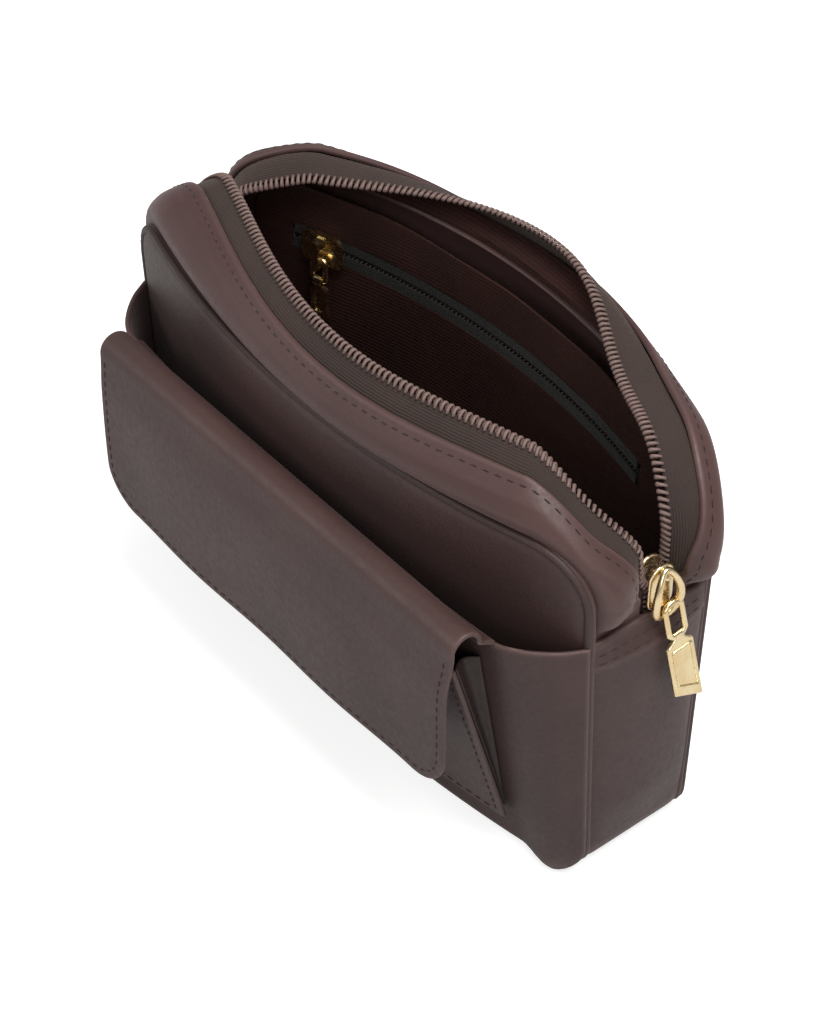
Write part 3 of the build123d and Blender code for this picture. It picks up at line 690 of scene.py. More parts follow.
class Tree:
    """Shorthand for adding nodes to a tree and linking them."""

    def __init__(self, tree):
        self.tree = tree

    def add(self, kind, links=None, **values):
        node = self.tree.nodes.new(kind)
        for key, value in values.items():
            setattr(node, key, value)
        for socket, source in (links or {}).items():
            if isinstance(source, bpy.types.NodeSocket):
                self.tree.links.new(source, node.inputs[socket])
            else:
                node.inputs[socket].default_value = source
        return node

    def maths(self, kind, a, b=0.0, c=0.0):
        return self.add("ShaderNodeMath", {0: a, 1: b, 2: c}, operation=kind).outputs[0]

    def mix(self, share, a, b):
        node = self.add("ShaderNodeMix", data_type="RGBA")
        for socket, source in ((node.inputs[0], share), (node.inputs[6], a), (node.inputs[7], b)):
            if isinstance(source, bpy.types.NodeSocket):
                self.tree.links.new(source, socket)
            else:
                socket.default_value = source
        return node.outputs[2]

    def range(self, value, low, high, to_low=0.0, to_high=1.0):
        node = self.add("ShaderNodeMapRange", {0: value, 1: low, 2: high, 3: to_low, 4: to_high})
        return node.outputs[0]


def grain_group():
    """Leather grain: fine pebbles from a cell texture, broader creases from noise, slow colour
    mottling, and a lighter colour on the convex edges: rubbed leather, and a painted highlight on
    the tips of the zip's coil."""
    group, entry, leave = node_group(
        "Leather grain",
        [("Vector", "NodeSocketVector", None), ("Colour", "NodeSocketColor", (0.05, 0.03, 0.03, 1)),
         ("Second colour", "NodeSocketColor", (0.03, 0.02, 0.02, 1)),
         ("Grain size", "NodeSocketFloat", 1200.0), ("Wear and edge highlight", "NodeSocketFloat", 0.3)],
        [("Colour", "NodeSocketColor"), ("Roughness", "NodeSocketFloat"), ("Height", "NodeSocketFloat")],
    )
    t = Tree(group)
    vector, scale = entry.outputs["Vector"], entry.outputs["Grain size"]
    cells = t.add("ShaderNodeTexVoronoi", {"Vector": vector, "Scale": scale}, feature="SMOOTH_F1")
    fine = t.add(
        "ShaderNodeTexNoise",
        {"Vector": vector, "Scale": t.maths("MULTIPLY", scale, 0.45), "Detail": 3.0},
    )
    slow = t.add("ShaderNodeTexNoise", {"Vector": vector, "Scale": 38.0, "Detail": 4.0, "Roughness": 0.6})
    broad = t.add("ShaderNodeTexNoise", {"Vector": vector, "Scale": 14.0, "Detail": 2.0})
    bevel = t.add("ShaderNodeNewGeometry")
    edge = t.range(bevel.outputs["Pointiness"], 0.505, 0.56)
    mottle = t.range(
        t.maths(
            "ADD", t.maths("MULTIPLY", slow.outputs[0], 0.5), t.maths("MULTIPLY", broad.outputs[0], 0.6),
        ),
        0.4, 0.7,
    )
    colour = t.mix(mottle, entry.outputs["Colour"], entry.outputs["Second colour"])
    # Convex edges turn lighter: rubbed leather, and a painted highlight on the coil's tips.
    worn_and_lit = t.mix(t.maths("MULTIPLY", edge, entry.outputs["Wear and edge highlight"]), colour, (0.26, 0.17, 0.15, 1))
    height = t.maths(
        "ADD", t.maths("MULTIPLY", cells.outputs[0], -0.6), t.maths("MULTIPLY", fine.outputs[0], 0.5),
    )
    rough = t.range(fine.outputs[0], 0.3, 0.7, 0.44, 0.56)
    rough = t.maths("ADD", rough, t.maths("MULTIPLY", mottle, 0.05))
    group.links.new(worn_and_lit, leave.inputs["Colour"])
    group.links.new(rough, leave.inputs["Roughness"])
    group.links.new(height, leave.inputs["Height"])
    return group


def weave_group():
    """Cloth: ribs along one axis of the cut, crossed by finer threads, with uneven dye."""
    group, entry, leave = node_group(
        "Woven cloth",
        [("Vector", "NodeSocketVector", None), ("Colour", "NodeSocketColor", (0.05, 0.03, 0.03, 1)),
         ("Second colour", "NodeSocketColor", (0.03, 0.02, 0.02, 1)),
         ("Ribs", "NodeSocketFloat", 1000.0), ("Threads", "NodeSocketFloat", 1400.0)],
        [("Colour", "NodeSocketColor"), ("Roughness", "NodeSocketFloat"), ("Height", "NodeSocketFloat")],
    )
    t = Tree(group)
    vector = entry.outputs["Vector"]
    noise = t.add("ShaderNodeTexNoise", {"Vector": vector, "Scale": 250.0, "Detail": 3.0})
    parts = t.add("ShaderNodeSeparateXYZ", {0: vector})
    sway = t.maths("MULTIPLY", noise.outputs[0], 0.00045)
    ribs = t.maths(
        "SINE",
        t.maths(
            "MULTIPLY", t.maths("ADD", parts.outputs[1], sway),
            t.maths("MULTIPLY", entry.outputs["Ribs"], 2 * pi),
        ),
    )
    threads = t.maths(
        "SINE",
        t.maths(
            "MULTIPLY", t.maths("ADD", parts.outputs[0], sway),
            t.maths("MULTIPLY", entry.outputs["Threads"], 2 * pi),
        ),
    )
    height = t.maths("ADD", t.maths("MULTIPLY", ribs, 0.5), t.maths("MULTIPLY", threads, 0.25))
    height = t.maths("ADD", height, t.maths("MULTIPLY", noise.outputs[0], 0.6))
    slow = t.add("ShaderNodeTexNoise", {"Vector": vector, "Scale": 60.0, "Detail": 4.0})
    share = t.range(t.maths("ADD", t.maths("MULTIPLY", height, 0.35), slow.outputs[0]), 0.2, 0.95)
    group.links.new(
        t.mix(share, entry.outputs["Second colour"], entry.outputs["Colour"]), leave.inputs["Colour"],
    )
    group.links.new(t.range(noise.outputs[0], 0.3, 0.7, 0.72, 0.9), leave.inputs["Roughness"])
    group.links.new(height, leave.inputs["Height"])
    return group


def scuff_group():
    """Metal finish: faint scuffs and slow changes of polish."""
    group, entry, leave = node_group(
        "Metal finish",
        [("Vector", "NodeSocketVector", None), ("Colour", "NodeSocketColor", (0.8, 0.6, 0.3, 1)),
         ("Second colour", "NodeSocketColor", (0.6, 0.4, 0.2, 1)), ("Polish", "NodeSocketFloat", 0.15)],
        [("Colour", "NodeSocketColor"), ("Roughness", "NodeSocketFloat"), ("Height", "NodeSocketFloat")],
    )
    t = Tree(group)
    vector = entry.outputs["Vector"]
    fine = t.add("ShaderNodeTexNoise", {"Vector": vector, "Scale": 900.0, "Detail": 4.0})
    slow = t.add("ShaderNodeTexNoise", {"Vector": vector, "Scale": 180.0, "Detail": 2.0})
    share = t.range(slow.outputs[0], 0.4, 0.65)
    group.links.new(
        t.mix(share, entry.outputs["Colour"], entry.outputs["Second colour"]), leave.inputs["Colour"],
    )
    rough = t.maths("ADD", entry.outputs["Polish"], t.range(fine.outputs[0], 0.4, 0.7, 0.0, 0.12))
    group.links.new(rough, leave.inputs["Roughness"])
    group.links.new(t.maths("MULTIPLY", fine.outputs[0], 0.5), leave.inputs["Height"])
    return group


def finish_material(
    name, group, colours, values, bump, coordinates="Object", metallic=0.0, sheen=0.0,
    sheen_tint=(1, 1, 1, 1), specular=0.5,
):
    """A material whose colour, roughness and relief come from one of the groups."""
    material = bpy.data.materials.new(name)
    material.use_nodes = True
    t = Tree(material.node_tree)
    shader = material.node_tree.nodes["Principled BSDF"]
    place = t.add("ShaderNodeTexCoord").outputs[coordinates]
    inputs = {"Vector": place, "Colour": colours[0], "Second colour": colours[1], **values}
    finish = t.add("ShaderNodeGroup", node_tree=group)
    for socket, value in inputs.items():
        if isinstance(value, bpy.types.NodeSocket):
            material.node_tree.links.new(value, finish.inputs[socket])
        else:
            finish.inputs[socket].default_value = value
    height = finish.outputs["Height"]
    relief = t.add("ShaderNodeBump", {"Height": height, "Distance": bump, "Strength": 1.0})
    material.node_tree.links.new(finish.outputs["Colour"], shader.inputs["Base Color"])
    material.node_tree.links.new(finish.outputs["Roughness"], shader.inputs["Roughness"])
    material.node_tree.links.new(relief.outputs[0], shader.inputs["Normal"])
    shader.inputs["Metallic"].default_value = metallic
    shader.inputs["Specular IOR Level"].default_value = specular
    if sheen:
        shader.inputs["Sheen Weight"].default_value = sheen
        shader.inputs["Sheen Roughness"].default_value = 0.45
        shader.inputs["Sheen Tint"].default_value = sheen_tint
    return material


# Settings --------------------------------------------------------------------------------

def colour_setting(name, description, default):
    """A colour that the sidebar shows."""
    return FloatVectorProperty(
        name=name, description=description, default=default, subtype="COLOR", size=4, min=0.0, max=1.0,
    )


class PouchSettings(PropertyGroup):
    """Colours and sizes that a user may change before building."""

    leather: colour_setting("Leather", "Colour of the outer leather", (0.047, 0.0212, 0.019, 1.0))
    leather_dark: colour_setting(
        "Dark leather", "Second colour of the outer leather", (0.030, 0.0145, 0.0132, 1.0),
    )
    lining: colour_setting("Lining", "Colour of the lining cloth", (0.036, 0.013, 0.0105, 1.0))
    tape: colour_setting("Zip tape", "Colour of the zip's tape", (0.046, 0.030, 0.025, 1.0))
    teeth: colour_setting("Zip teeth", "Colour of the zip's coil", (0.020, 0.017, 0.014, 1.0))
    gold: colour_setting("Gold", "Colour of the sliders and pulls", (0.90, 0.75, 0.46, 1.0))
    thread: colour_setting("Thread", "Colour of the sewing thread", (0.018, 0.008, 0.008, 1.0))
    stitch_pitch: FloatProperty(
        name="Stitch pitch", description="Distance from one stitch to the next", default=3.1 * MM,
        unit="LENGTH",
    )
    tooth_pitch: FloatProperty(
        name="Tooth pitch", description="Distance from one tooth to the next", default=1.63 * MM,
        unit="LENGTH",
    )
    fineness: IntProperty(
        name="Fineness", description="Rows of faces over a panel's height", default=70, min=20, max=200,
    )


def settings():
    """The scene's pouch settings."""
    return bpy.context.scene.pouch


# Operators -------------------------------------------------------------------------------

class PouchOperator(Operator):
    """Adds a piece of the pouch"""

    bl_options = {"REGISTER", "UNDO"}

    def execute(self, context):
        self.build()
        return {"FINISHED"}


class POUCH_OT_finishes(PouchOperator):
    """Makes every material of the pouch"""

    bl_idname = "pouch.finishes"
    bl_label = "Finishes"

    def build(self):
        s = settings()
        grain, weave, scuff = grain_group(), weave_group(), scuff_group()

        def grained(key, name, colours, size, wear_and_highlight, bump, **shine):
            values = {"Grain size": size, "Wear and edge highlight": wear_and_highlight}
            MATERIALS[key] = finish_material(name, grain, colours, values, bump, **shine)

        def woven(key, name, colours, ribs, threads, bump, **shine):
            values = {"Ribs": ribs, "Threads": threads}
            MATERIALS[key] = finish_material(name, weave, colours, values, bump, **shine)

        def polished(key, name, colours, polish, bump):
            values = {"Polish": polish}
            MATERIALS[key] = finish_material(name, scuff, colours, values, bump, metallic=1.0)

        grained("leather", "Outer leather", (s.leather, s.leather_dark), 1500.0, 0.35, 0.00006,
                sheen=0.08, sheen_tint=(1, 0.86, 0.84, 1), specular=0.4)
        # The strips' leather is a lighter copy of the outer leather: painted light for the stronger light that
        # falls on the strips.
        grained("strip leather painted lighter", "Strip leather, painted lighter", ((0.061, 0.028, 0.0255, 1), s.leather), 1500.0, 0.3,
                0.00006, sheen=0.12, sheen_tint=(1, 0.82, 0.8, 1), specular=0.42)
        woven("hem thread", "Hem thread", ((0.055, 0.026, 0.024, 1), (0.04, 0.018, 0.016, 1)), 3000.0,
              2500.0, 0.00005, specular=0.3)
        # A darker copy of the leather: the flap's inner face, and painted shade on the seam welts and the
        # pocket's bellows.
        grained("inner leather and painted shade", "Inner leather and painted shade", (s.leather_dark, (0.02, 0.014, 0.013, 1)), 1300.0,
                0.1, 0.00006, specular=0.3)
        woven("lining", "Lining cloth", (s.lining, (0.014, 0.006, 0.005, 1)), 900.0, 1500.0, 0.00012,
              coordinates="UV", sheen=0.1, sheen_tint=(1, 0.6, 0.5, 1), specular=0.12)
        woven("tape", "Zip tape", (s.tape, (0.03, 0.022, 0.02, 1)), 1400.0, 1700.0, 0.00012,
              coordinates="UV", sheen=0.12, sheen_tint=(1, 0.8, 0.7, 1), specular=0.2)
        woven("dark tape", "Pocket zip tape", ((0.016, 0.015, 0.013, 1), (0.008, 0.008, 0.007, 1)),
              1400.0, 1700.0, 0.0001, coordinates="UV", sheen=0.2, specular=0.25)
        # The coil's high edge setting lightens the tips of its turns: a painted highlight.
        grained("teeth", "Zip coil", (s.teeth, (0.012, 0.010, 0.009, 1)), 2500.0, 0.6, 0.00002,
                specular=0.32)
        grained("dark teeth", "Pocket zip coil", ((0.014, 0.013, 0.012, 1), (0.01, 0.01, 0.009, 1)),
                2500.0, 0.2, 0.00002, specular=0.5)
        polished("gold", "Gold metal", (s.gold, (0.82, 0.64, 0.36, 1)), 0.2, 0.000008)
        polished("snap", "Snap metal", ((0.2, 0.17, 0.13, 1), (0.14, 0.12, 0.1, 1)), 0.28, 0.00001)
        woven("thread", "Thread", (s.thread, (0.03, 0.012, 0.012, 1)), 3000.0, 2500.0, 0.00005,
              sheen=0.2, specular=0.3)
        woven("lining thread", "Lining thread", ((0.05, 0.02, 0.016, 1), (0.03, 0.012, 0.01, 1)),
              3000.0, 2500.0, 0.00005, specular=0.3)


class POUCH_OT_panels(PouchOperator):
    """Adds the front and rear leather panels"""

    bl_idname = "pouch.panels"
    bl_label = "Panels"

    def build(self):
        rows = settings().fineness
        x, z = rounded_grid(*PANEL_OUTLINE, 2 * rows, rows, LEATHER / 2)
        d = inside_distance(x, z, *PANEL_OUTLINE)
        for side, name in ((-1, "front_panel"), (1, "rear_panel")):
            order = slice(None) if side < 0 else slice(None, None, -1)
            wall_sheet(name + "_leather", panel_surface(side), x[order], z[order], d[order], LEATHER,
                       finish="leather", replaces=(name,), slot="leather")


class POUCH_OT_seams(PouchOperator):
    """Adds the turned seam allowances inside the seams of both panels"""

    bl_idname = "pouch.seams"
    bl_label = "Seams"

    def build(self):
        turn = np.linspace(0, pi / 2, 12)
        for side, name in ((-1, "front_seam_welt"), (1, "rear_seam_welt")):
            inset = WELT_INSET
            low, high = BOTTOM_CORNER - inset, PANEL_CORNER - inset
            half, top = HALF - inset, PANEL_HIGH - inset
            x = np.concatenate([
                np.linspace(-half + low, half - low, 60)[1:-1], half - low + low * np.sin(turn),
                np.full(38, half), half - high + high * np.cos(turn),
                np.linspace(half - high, -half + high, 60)[1:-1], -half + high - high * np.sin(turn),
                np.full(38, -half), -half + low - low * np.cos(turn),
            ])
            z = np.concatenate([
                np.full(58, inset), inset + low * (1 - np.cos(turn)),
                np.linspace(inset + low, top - high, 40)[1:-1], top - high + high * np.sin(turn),
                np.full(58, top), top - high + high * np.cos(turn),
                np.linspace(top - high, inset + low, 40)[1:-1], inset + low - low * np.sin(turn),
            ])
            path = stack(x, wall_y(side, x, z, -1.0), z)
            points, faces = tube(path, WELT_RADIUS, sides=10, closed=True)
            # The welts' dark leather shows between the seams' edges as painted shade of the seam groove.
            mesh_object(name, points, faces, finish="inner leather and painted shade", slot="leather")


class POUCH_OT_gusset(PouchOperator):
    """Adds the gusset round both ends and the bottom, with its stitched hems"""

    bl_idname = "pouch.gusset"
    bl_label = "Gusset"

    def build(self):
        p = graded(0, GUSSET_LONG, 220, LEATHER / 2)
        v = graded(0, 1, 34, LEATHER / 2 / 40)
        p, v = grid(p, v)
        mid = gusset_surface(p, v)
        x, z = outline_point(p)[:2]
        wide = wall_y(1, x, z, -0.4) - wall_y(-1, x, z, -0.4)
        d = least(v * wide, (1 - v) * wide, p, GUSSET_LONG - p)
        hem = smooth((9.0 - np.minimum(p, GUSSET_LONG - p)) / 0.8)
        two_faced("gusset_leather", mid, rim_depth(d, LEATHER + 0.7 * hem),
                  finish="leather", replaces=("end_and_bottom_gusset",), slot="leather")
        shape = capsule(*HEM_STITCH)
        across = np.linspace(0.06, 0.94, 60)
        rows = [
            stitch_row(gusset_surface, np.full(60, at), across, HEM_STITCH_PITCH, LEATHER / 2 + 0.32, shape)
            for at in (4.0, 6.5, GUSSET_LONG - 4.0, GUSSET_LONG - 6.5)
        ]
        add_stitches("gusset_hem_stitches", rows, "hem thread")


def band_stations(upright, corner, top):
    """Values of s along a zip band, closer together where it turns."""
    parts = [
        np.linspace(0, 1, upright, endpoint=False), np.linspace(1, 2, corner, endpoint=False),
        np.linspace(2, 3, top, endpoint=False), np.linspace(3, 4, corner, endpoint=False),
        np.linspace(4, 5, upright),
    ]
    return np.concatenate(parts)


class POUCH_OT_zip_strips(PouchOperator):
    """Adds the two leather strips beside the main zip, and their stitching"""

    bl_idname = "pouch.zip_strips"
    bl_label = "Zip strips"

    def build(self):
        pitch = round(settings().stitch_pitch / MM, 4)
        s = band_stations(24, 30, 150)
        t = graded(0, 1, 22, 0.03)
        s, t = grid(s, t)
        shape = capsule(*STITCH)
        rows = []
        for side, name in ((-1, "front_zip_strip"), (1, "rear_zip_strip")):
            surface = strip_surface(side)
            seam, row, _ = band_axes(side, s)
            wide = apart(seam, row) - tape_shown(side, row[..., 2])
            end = np.minimum(s, 5 - s) * 16
            d = np.minimum(np.minimum(t, 1 - t) * wide, end)
            hem = smooth((t * wide - (wide - 6.5)) / 0.8)
            order = slice(None, None, side)
            # The strips take the lighter leather, which paints the stronger light on them.
            two_faced(name + "_leather", surface(s, t)[order], rim_depth(d, LEATHER + 0.35 * hem)[order],
                      finish="strip leather painted lighter", replaces=(name,), slot="leather")
            line = np.linspace(0.5, 4.5, 900)
            seam, row, _ = band_axes(side, line if side > 0 else 5 - line)
            wide = apart(seam, row) - tape_shown(side, row[..., 2])
            turned = mirrored(surface, 5) if side < 0 else surface
            rows.append(stitch_row(turned, line, 1 - 2.5 / wide, pitch, 0.86, shape))
        add_stitches("zip_strip_stitches", rows, "thread")


class POUCH_OT_zip_tapes(PouchOperator):
    """Adds the main zip's two woven tapes"""

    bl_idname = "pouch.zip_tapes"
    bl_label = "Zip tapes"

    def build(self):
        s = band_stations(20, 26, 130)
        t = graded(TAPE_START, TAPE_REACH, 12, 0.25)
        s, t = grid(s, t)
        d = least(t - TAPE_START, TAPE_REACH - t, 25 * s, 25 * (5 - s))
        for side, name in ((-1, "front_zip_tape"), (1, "rear_zip_tape")):
            surface = tape_surface(side)
            two_faced(name + "_cloth", surface(s, t)[::side], rim_depth(d, TAPE)[::side],
                      finish="tape", replaces=(name,), slot="zip_tape")


def tooth_shape():
    """One turn of a nylon coil: a bent wire from its upper leg, round the swollen tip, to its
    lower leg. Axes: along the row, towards the other row, off the tape."""
    across = np.array([-1.5, -0.7, 0.1, 0.62, 0.82, 0.62, 0.1, -0.7, -1.5])
    lift = np.array([0.62, 0.72, 0.66, 0.42, 0.0, -0.42, -0.66, -0.72, -0.62])
    wide = np.array([0.40, 0.42, 0.46, 0.56, 0.6, 0.56, 0.46, 0.42, 0.40])
    thick = np.array([0.36, 0.38, 0.38, 0.36, 0.34, 0.36, 0.38, 0.38, 0.36])
    slant = np.linspace(-0.3, 0.3, len(across))
    centre = np.stack([slant, across, lift], -1)
    ahead = unit(np.gradient(centre, axis=0))
    side = np.broadcast_to([1.0, 0, 0], ahead.shape)
    up = unit(np.cross(ahead, side))
    turn = np.arange(ROD_SIDES) * 2 * pi / ROD_SIDES
    points = (
        centre[:, None]
        + side[:, None] * (np.cos(turn) * wide[:, None])[..., None]
        + up[:, None] * (np.sin(turn) * thick[:, None])[..., None]
    )
    return points.reshape(-1, 3), rod_faces(len(centre))


class POUCH_OT_zip_teeth(PouchOperator):
    """Adds the main zip's two rows of nylon coil"""

    bl_idname = "pouch.zip_teeth"
    bl_label = "Zip teeth"

    def build(self):
        pitch = settings().tooth_pitch / MM
        line = np.linspace(0.02, 4.98, 4000)
        for side, name in ((-1, "front_zip_teeth"), (1, "rear_zip_teeth")):
            out = band_axes(side, line)[2]
            surface = tape_surface(side)
            path = surface(line, 0 * line)
            lean = unit(path - surface(line, 0 * line + 0.5))
            out = unit(out - lean * np.sum(out * lean, -1, keepdims=True))
            steps = resampled(path, pitch, 0.5 if side < 0 else 1.0)
            origin = along_path(path, steps)
            normal = unit(along_path(out, steps))
            across = unit(along_path(lean, steps))
            ahead = unit(np.cross(across, normal))
            normal = np.cross(ahead, across)
            points, faces = repeated(tooth_shape(), origin, ahead, across, normal)
            mesh_object(
                name + "_coil", points, faces, finish="teeth", replaces=(name,),
                slot="zip_teeth",
            )


class POUCH_OT_slip_pocket(PouchOperator):
    """Adds the slip pocket over the lower front"""

    bl_idname = "pouch.slip_pocket"
    bl_label = "Slip pocket"

    def build(self):
        low, high = 0.6, GUSSET_HIGH
        z = graded(low, high, 50, LEATHER / 2)
        s = graded(-1, 1, 150, LEATHER / 2 / HALF)
        wide = half_at(z, *SLIP_OUTLINE)
        x = s[:, None] * wide[None, :]
        z = np.broadcast_to(z[None, :], x.shape)
        d = least(inside_distance(x, z, *SLIP_OUTLINE), z - low, high - z)
        wall_sheet("slip_pocket_leather", slip_surface, x, z, d, LEATHER, finish="leather",
                   replaces=("slip_pocket_panel",), slot="leather")


class POUCH_OT_flap_pocket(PouchOperator):
    """Adds the flap pocket's front and its bellows"""

    bl_idname = "pouch.flap_pocket"
    bl_label = "Flap pocket"

    def build(self):
        x = graded(-POCKET_HALF, POCKET_HALF, 90, LEATHER / 2)
        z = graded(POCKET_LOW, POCKET_HIGH, 44, LEATHER / 2)
        x, z = grid(x, z)
        d = least(POCKET_HALF - np.abs(x), z - POCKET_LOW, POCKET_HIGH - z)
        wall_sheet("flap_pocket_leather", pocket_surface, x, z, d, LEATHER, finish="leather",
                   replaces=("flap_pocket_front",), slot="leather")
        shape = capsule(*STITCH)
        up = np.linspace(POCKET_LOW + 2, POCKET_HIGH - 2, 60)
        over = np.linspace(-POCKET_HALF + 2, POCKET_HALF - 2, 140)
        rows = [
            stitch_row(pocket_surface, np.full(60, -POCKET_HALF + 1.9), up, SHORT_STITCH_PITCH, 0.78, shape),
            stitch_row(pocket_surface, np.full(60, POCKET_HALF - 1.9), up, SHORT_STITCH_PITCH, 0.78, shape),
            stitch_row(pocket_surface, over, np.full(140, POCKET_LOW + 2.0), SHORT_STITCH_PITCH, 0.78, shape),
        ]
        add_stitches("flap_pocket_stitches", rows, "hem thread")
        for name, sign in (("left_pocket_bellows", -1), ("right_pocket_bellows", 1)):
            z = graded(POCKET_LOW + 3, POCKET_HIGH - 1, 40, 0.5)
            t = graded(0, 1, 16, 0.04)
            z, t = grid(z, t)
            back = slip_y(68.0, z) - 0.45
            front = np.minimum(pocket_faces(z)[0] + 0.5, back - 0.4)
            room = back - front
            x = sign * (68.3 - 0.30 * room * np.sin(pi * t))
            mid = stack(x, back - room * t, z)
            d = np.minimum(
                np.minimum(t, 1 - t) * np.maximum(room, 1.0),
                np.minimum(z - POCKET_LOW - 3, POCKET_HIGH - 1 - z),
            )
            # The bellows are dark leather: painted shade behind the pocket's front and under the flap.
            two_faced(name + "_leather", mid[::sign], rim_depth(d, 0.8)[::sign],
                      finish="inner leather and painted shade", replaces=(name,), slot="leather")


class POUCH_OT_flap(PouchOperator):
    """Adds the flap, with its stitching and its inner face"""

    bl_idname = "pouch.flap"
    bl_label = "Flap"

    def build(self):
        s = graded(0, FLAP_LONG, 110, LEATHER / 2)
        u = graded(-1, 1, 130, LEATHER / 2 / FLAP_HALF)
        low_corner = FLAP_LONG - FLAP_CORNER
        drop = np.clip(s - low_corner, 0, FLAP_CORNER)
        wide = FLAP_HALF - (FLAP_CORNER - np.sqrt(FLAP_CORNER ** 2 - drop ** 2))
        x = u[:, None] * wide[None, :]
        s = np.broadcast_to(s[None, :], x.shape)
        corner = np.hypot(
            np.maximum(np.abs(x) - FLAP_HALF + FLAP_CORNER, 0), np.maximum(s - low_corner, 0),
        )
        d = np.where((np.abs(x) > FLAP_HALF - FLAP_CORNER) & (s > low_corner), FLAP_CORNER - corner,
                     np.minimum(FLAP_HALF - np.abs(x), FLAP_LONG - s))
        d = np.minimum(np.maximum(d, 0), s + 0.4)
        flap = wall_sheet("flap_cover_leather", flap_surface, x[::-1], s[::-1], d[::-1], 1.3,
                          finish="leather", body=None, replaces=("flap_root", "flap_leather"),
                          slot="leather")
        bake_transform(flap)
        inset = 2.3
        turn = np.linspace(0, pi / 2, 24)
        start = FLAP_RISE + pi * FLAP_ROUND + 1.0
        r = FLAP_CORNER - inset
        side_s = np.linspace(start, low_corner, 60)
        x_line = np.concatenate([
            np.full(60, FLAP_HALF - inset), FLAP_HALF - FLAP_CORNER + r * np.cos(turn),
            np.linspace(FLAP_HALF - FLAP_CORNER, -FLAP_HALF + FLAP_CORNER, 160)[1:-1],
            -(FLAP_HALF - FLAP_CORNER + r * np.cos(turn[::-1])), np.full(60, -FLAP_HALF + inset),
        ])
        s_line = np.concatenate([
            side_s, low_corner + r * np.sin(turn), np.full(158, FLAP_LONG - inset),
            low_corner + r * np.sin(turn[::-1]), side_s[::-1],
        ])
        row = stitch_row(mirrored(flap_surface), x_line, s_line, SHORT_STITCH_PITCH, 0.66, capsule(*STITCH))
        add_stitches("flap_stitches", [row], "hem thread", body="flap")
        x, s2 = np.meshgrid(
            graded(-FLAP_HALF + 1.5, FLAP_HALF - 1.5, 80, 0.4),
            graded(FLAP_RISE + pi * FLAP_ROUND + 2, FLAP_LONG - 1.2, 60, 0.4), indexing="ij",
        )
        drop = np.clip(s2 - low_corner, 0, FLAP_CORNER - 1.4)
        narrow = (FLAP_CORNER - 1.3) - np.sqrt((FLAP_CORNER - 1.3) ** 2 - drop ** 2)
        x = x * (1 - narrow / (FLAP_HALF - 1.5))
        mid = flap_surface(x, s2) + [0, 1.05, 0]
        d = least(
            FLAP_HALF - 1.5 - np.abs(x) - narrow, FLAP_LONG - 1.2 - s2,
            s2 - FLAP_RISE - pi * FLAP_ROUND - 2,
        )
        two_faced("flap_inner_leather", mid, rim_depth(np.maximum(d, 0), 0.7),
                  finish="inner leather and painted shade", body="flap", replaces=("flap_lining",), slot="lining")


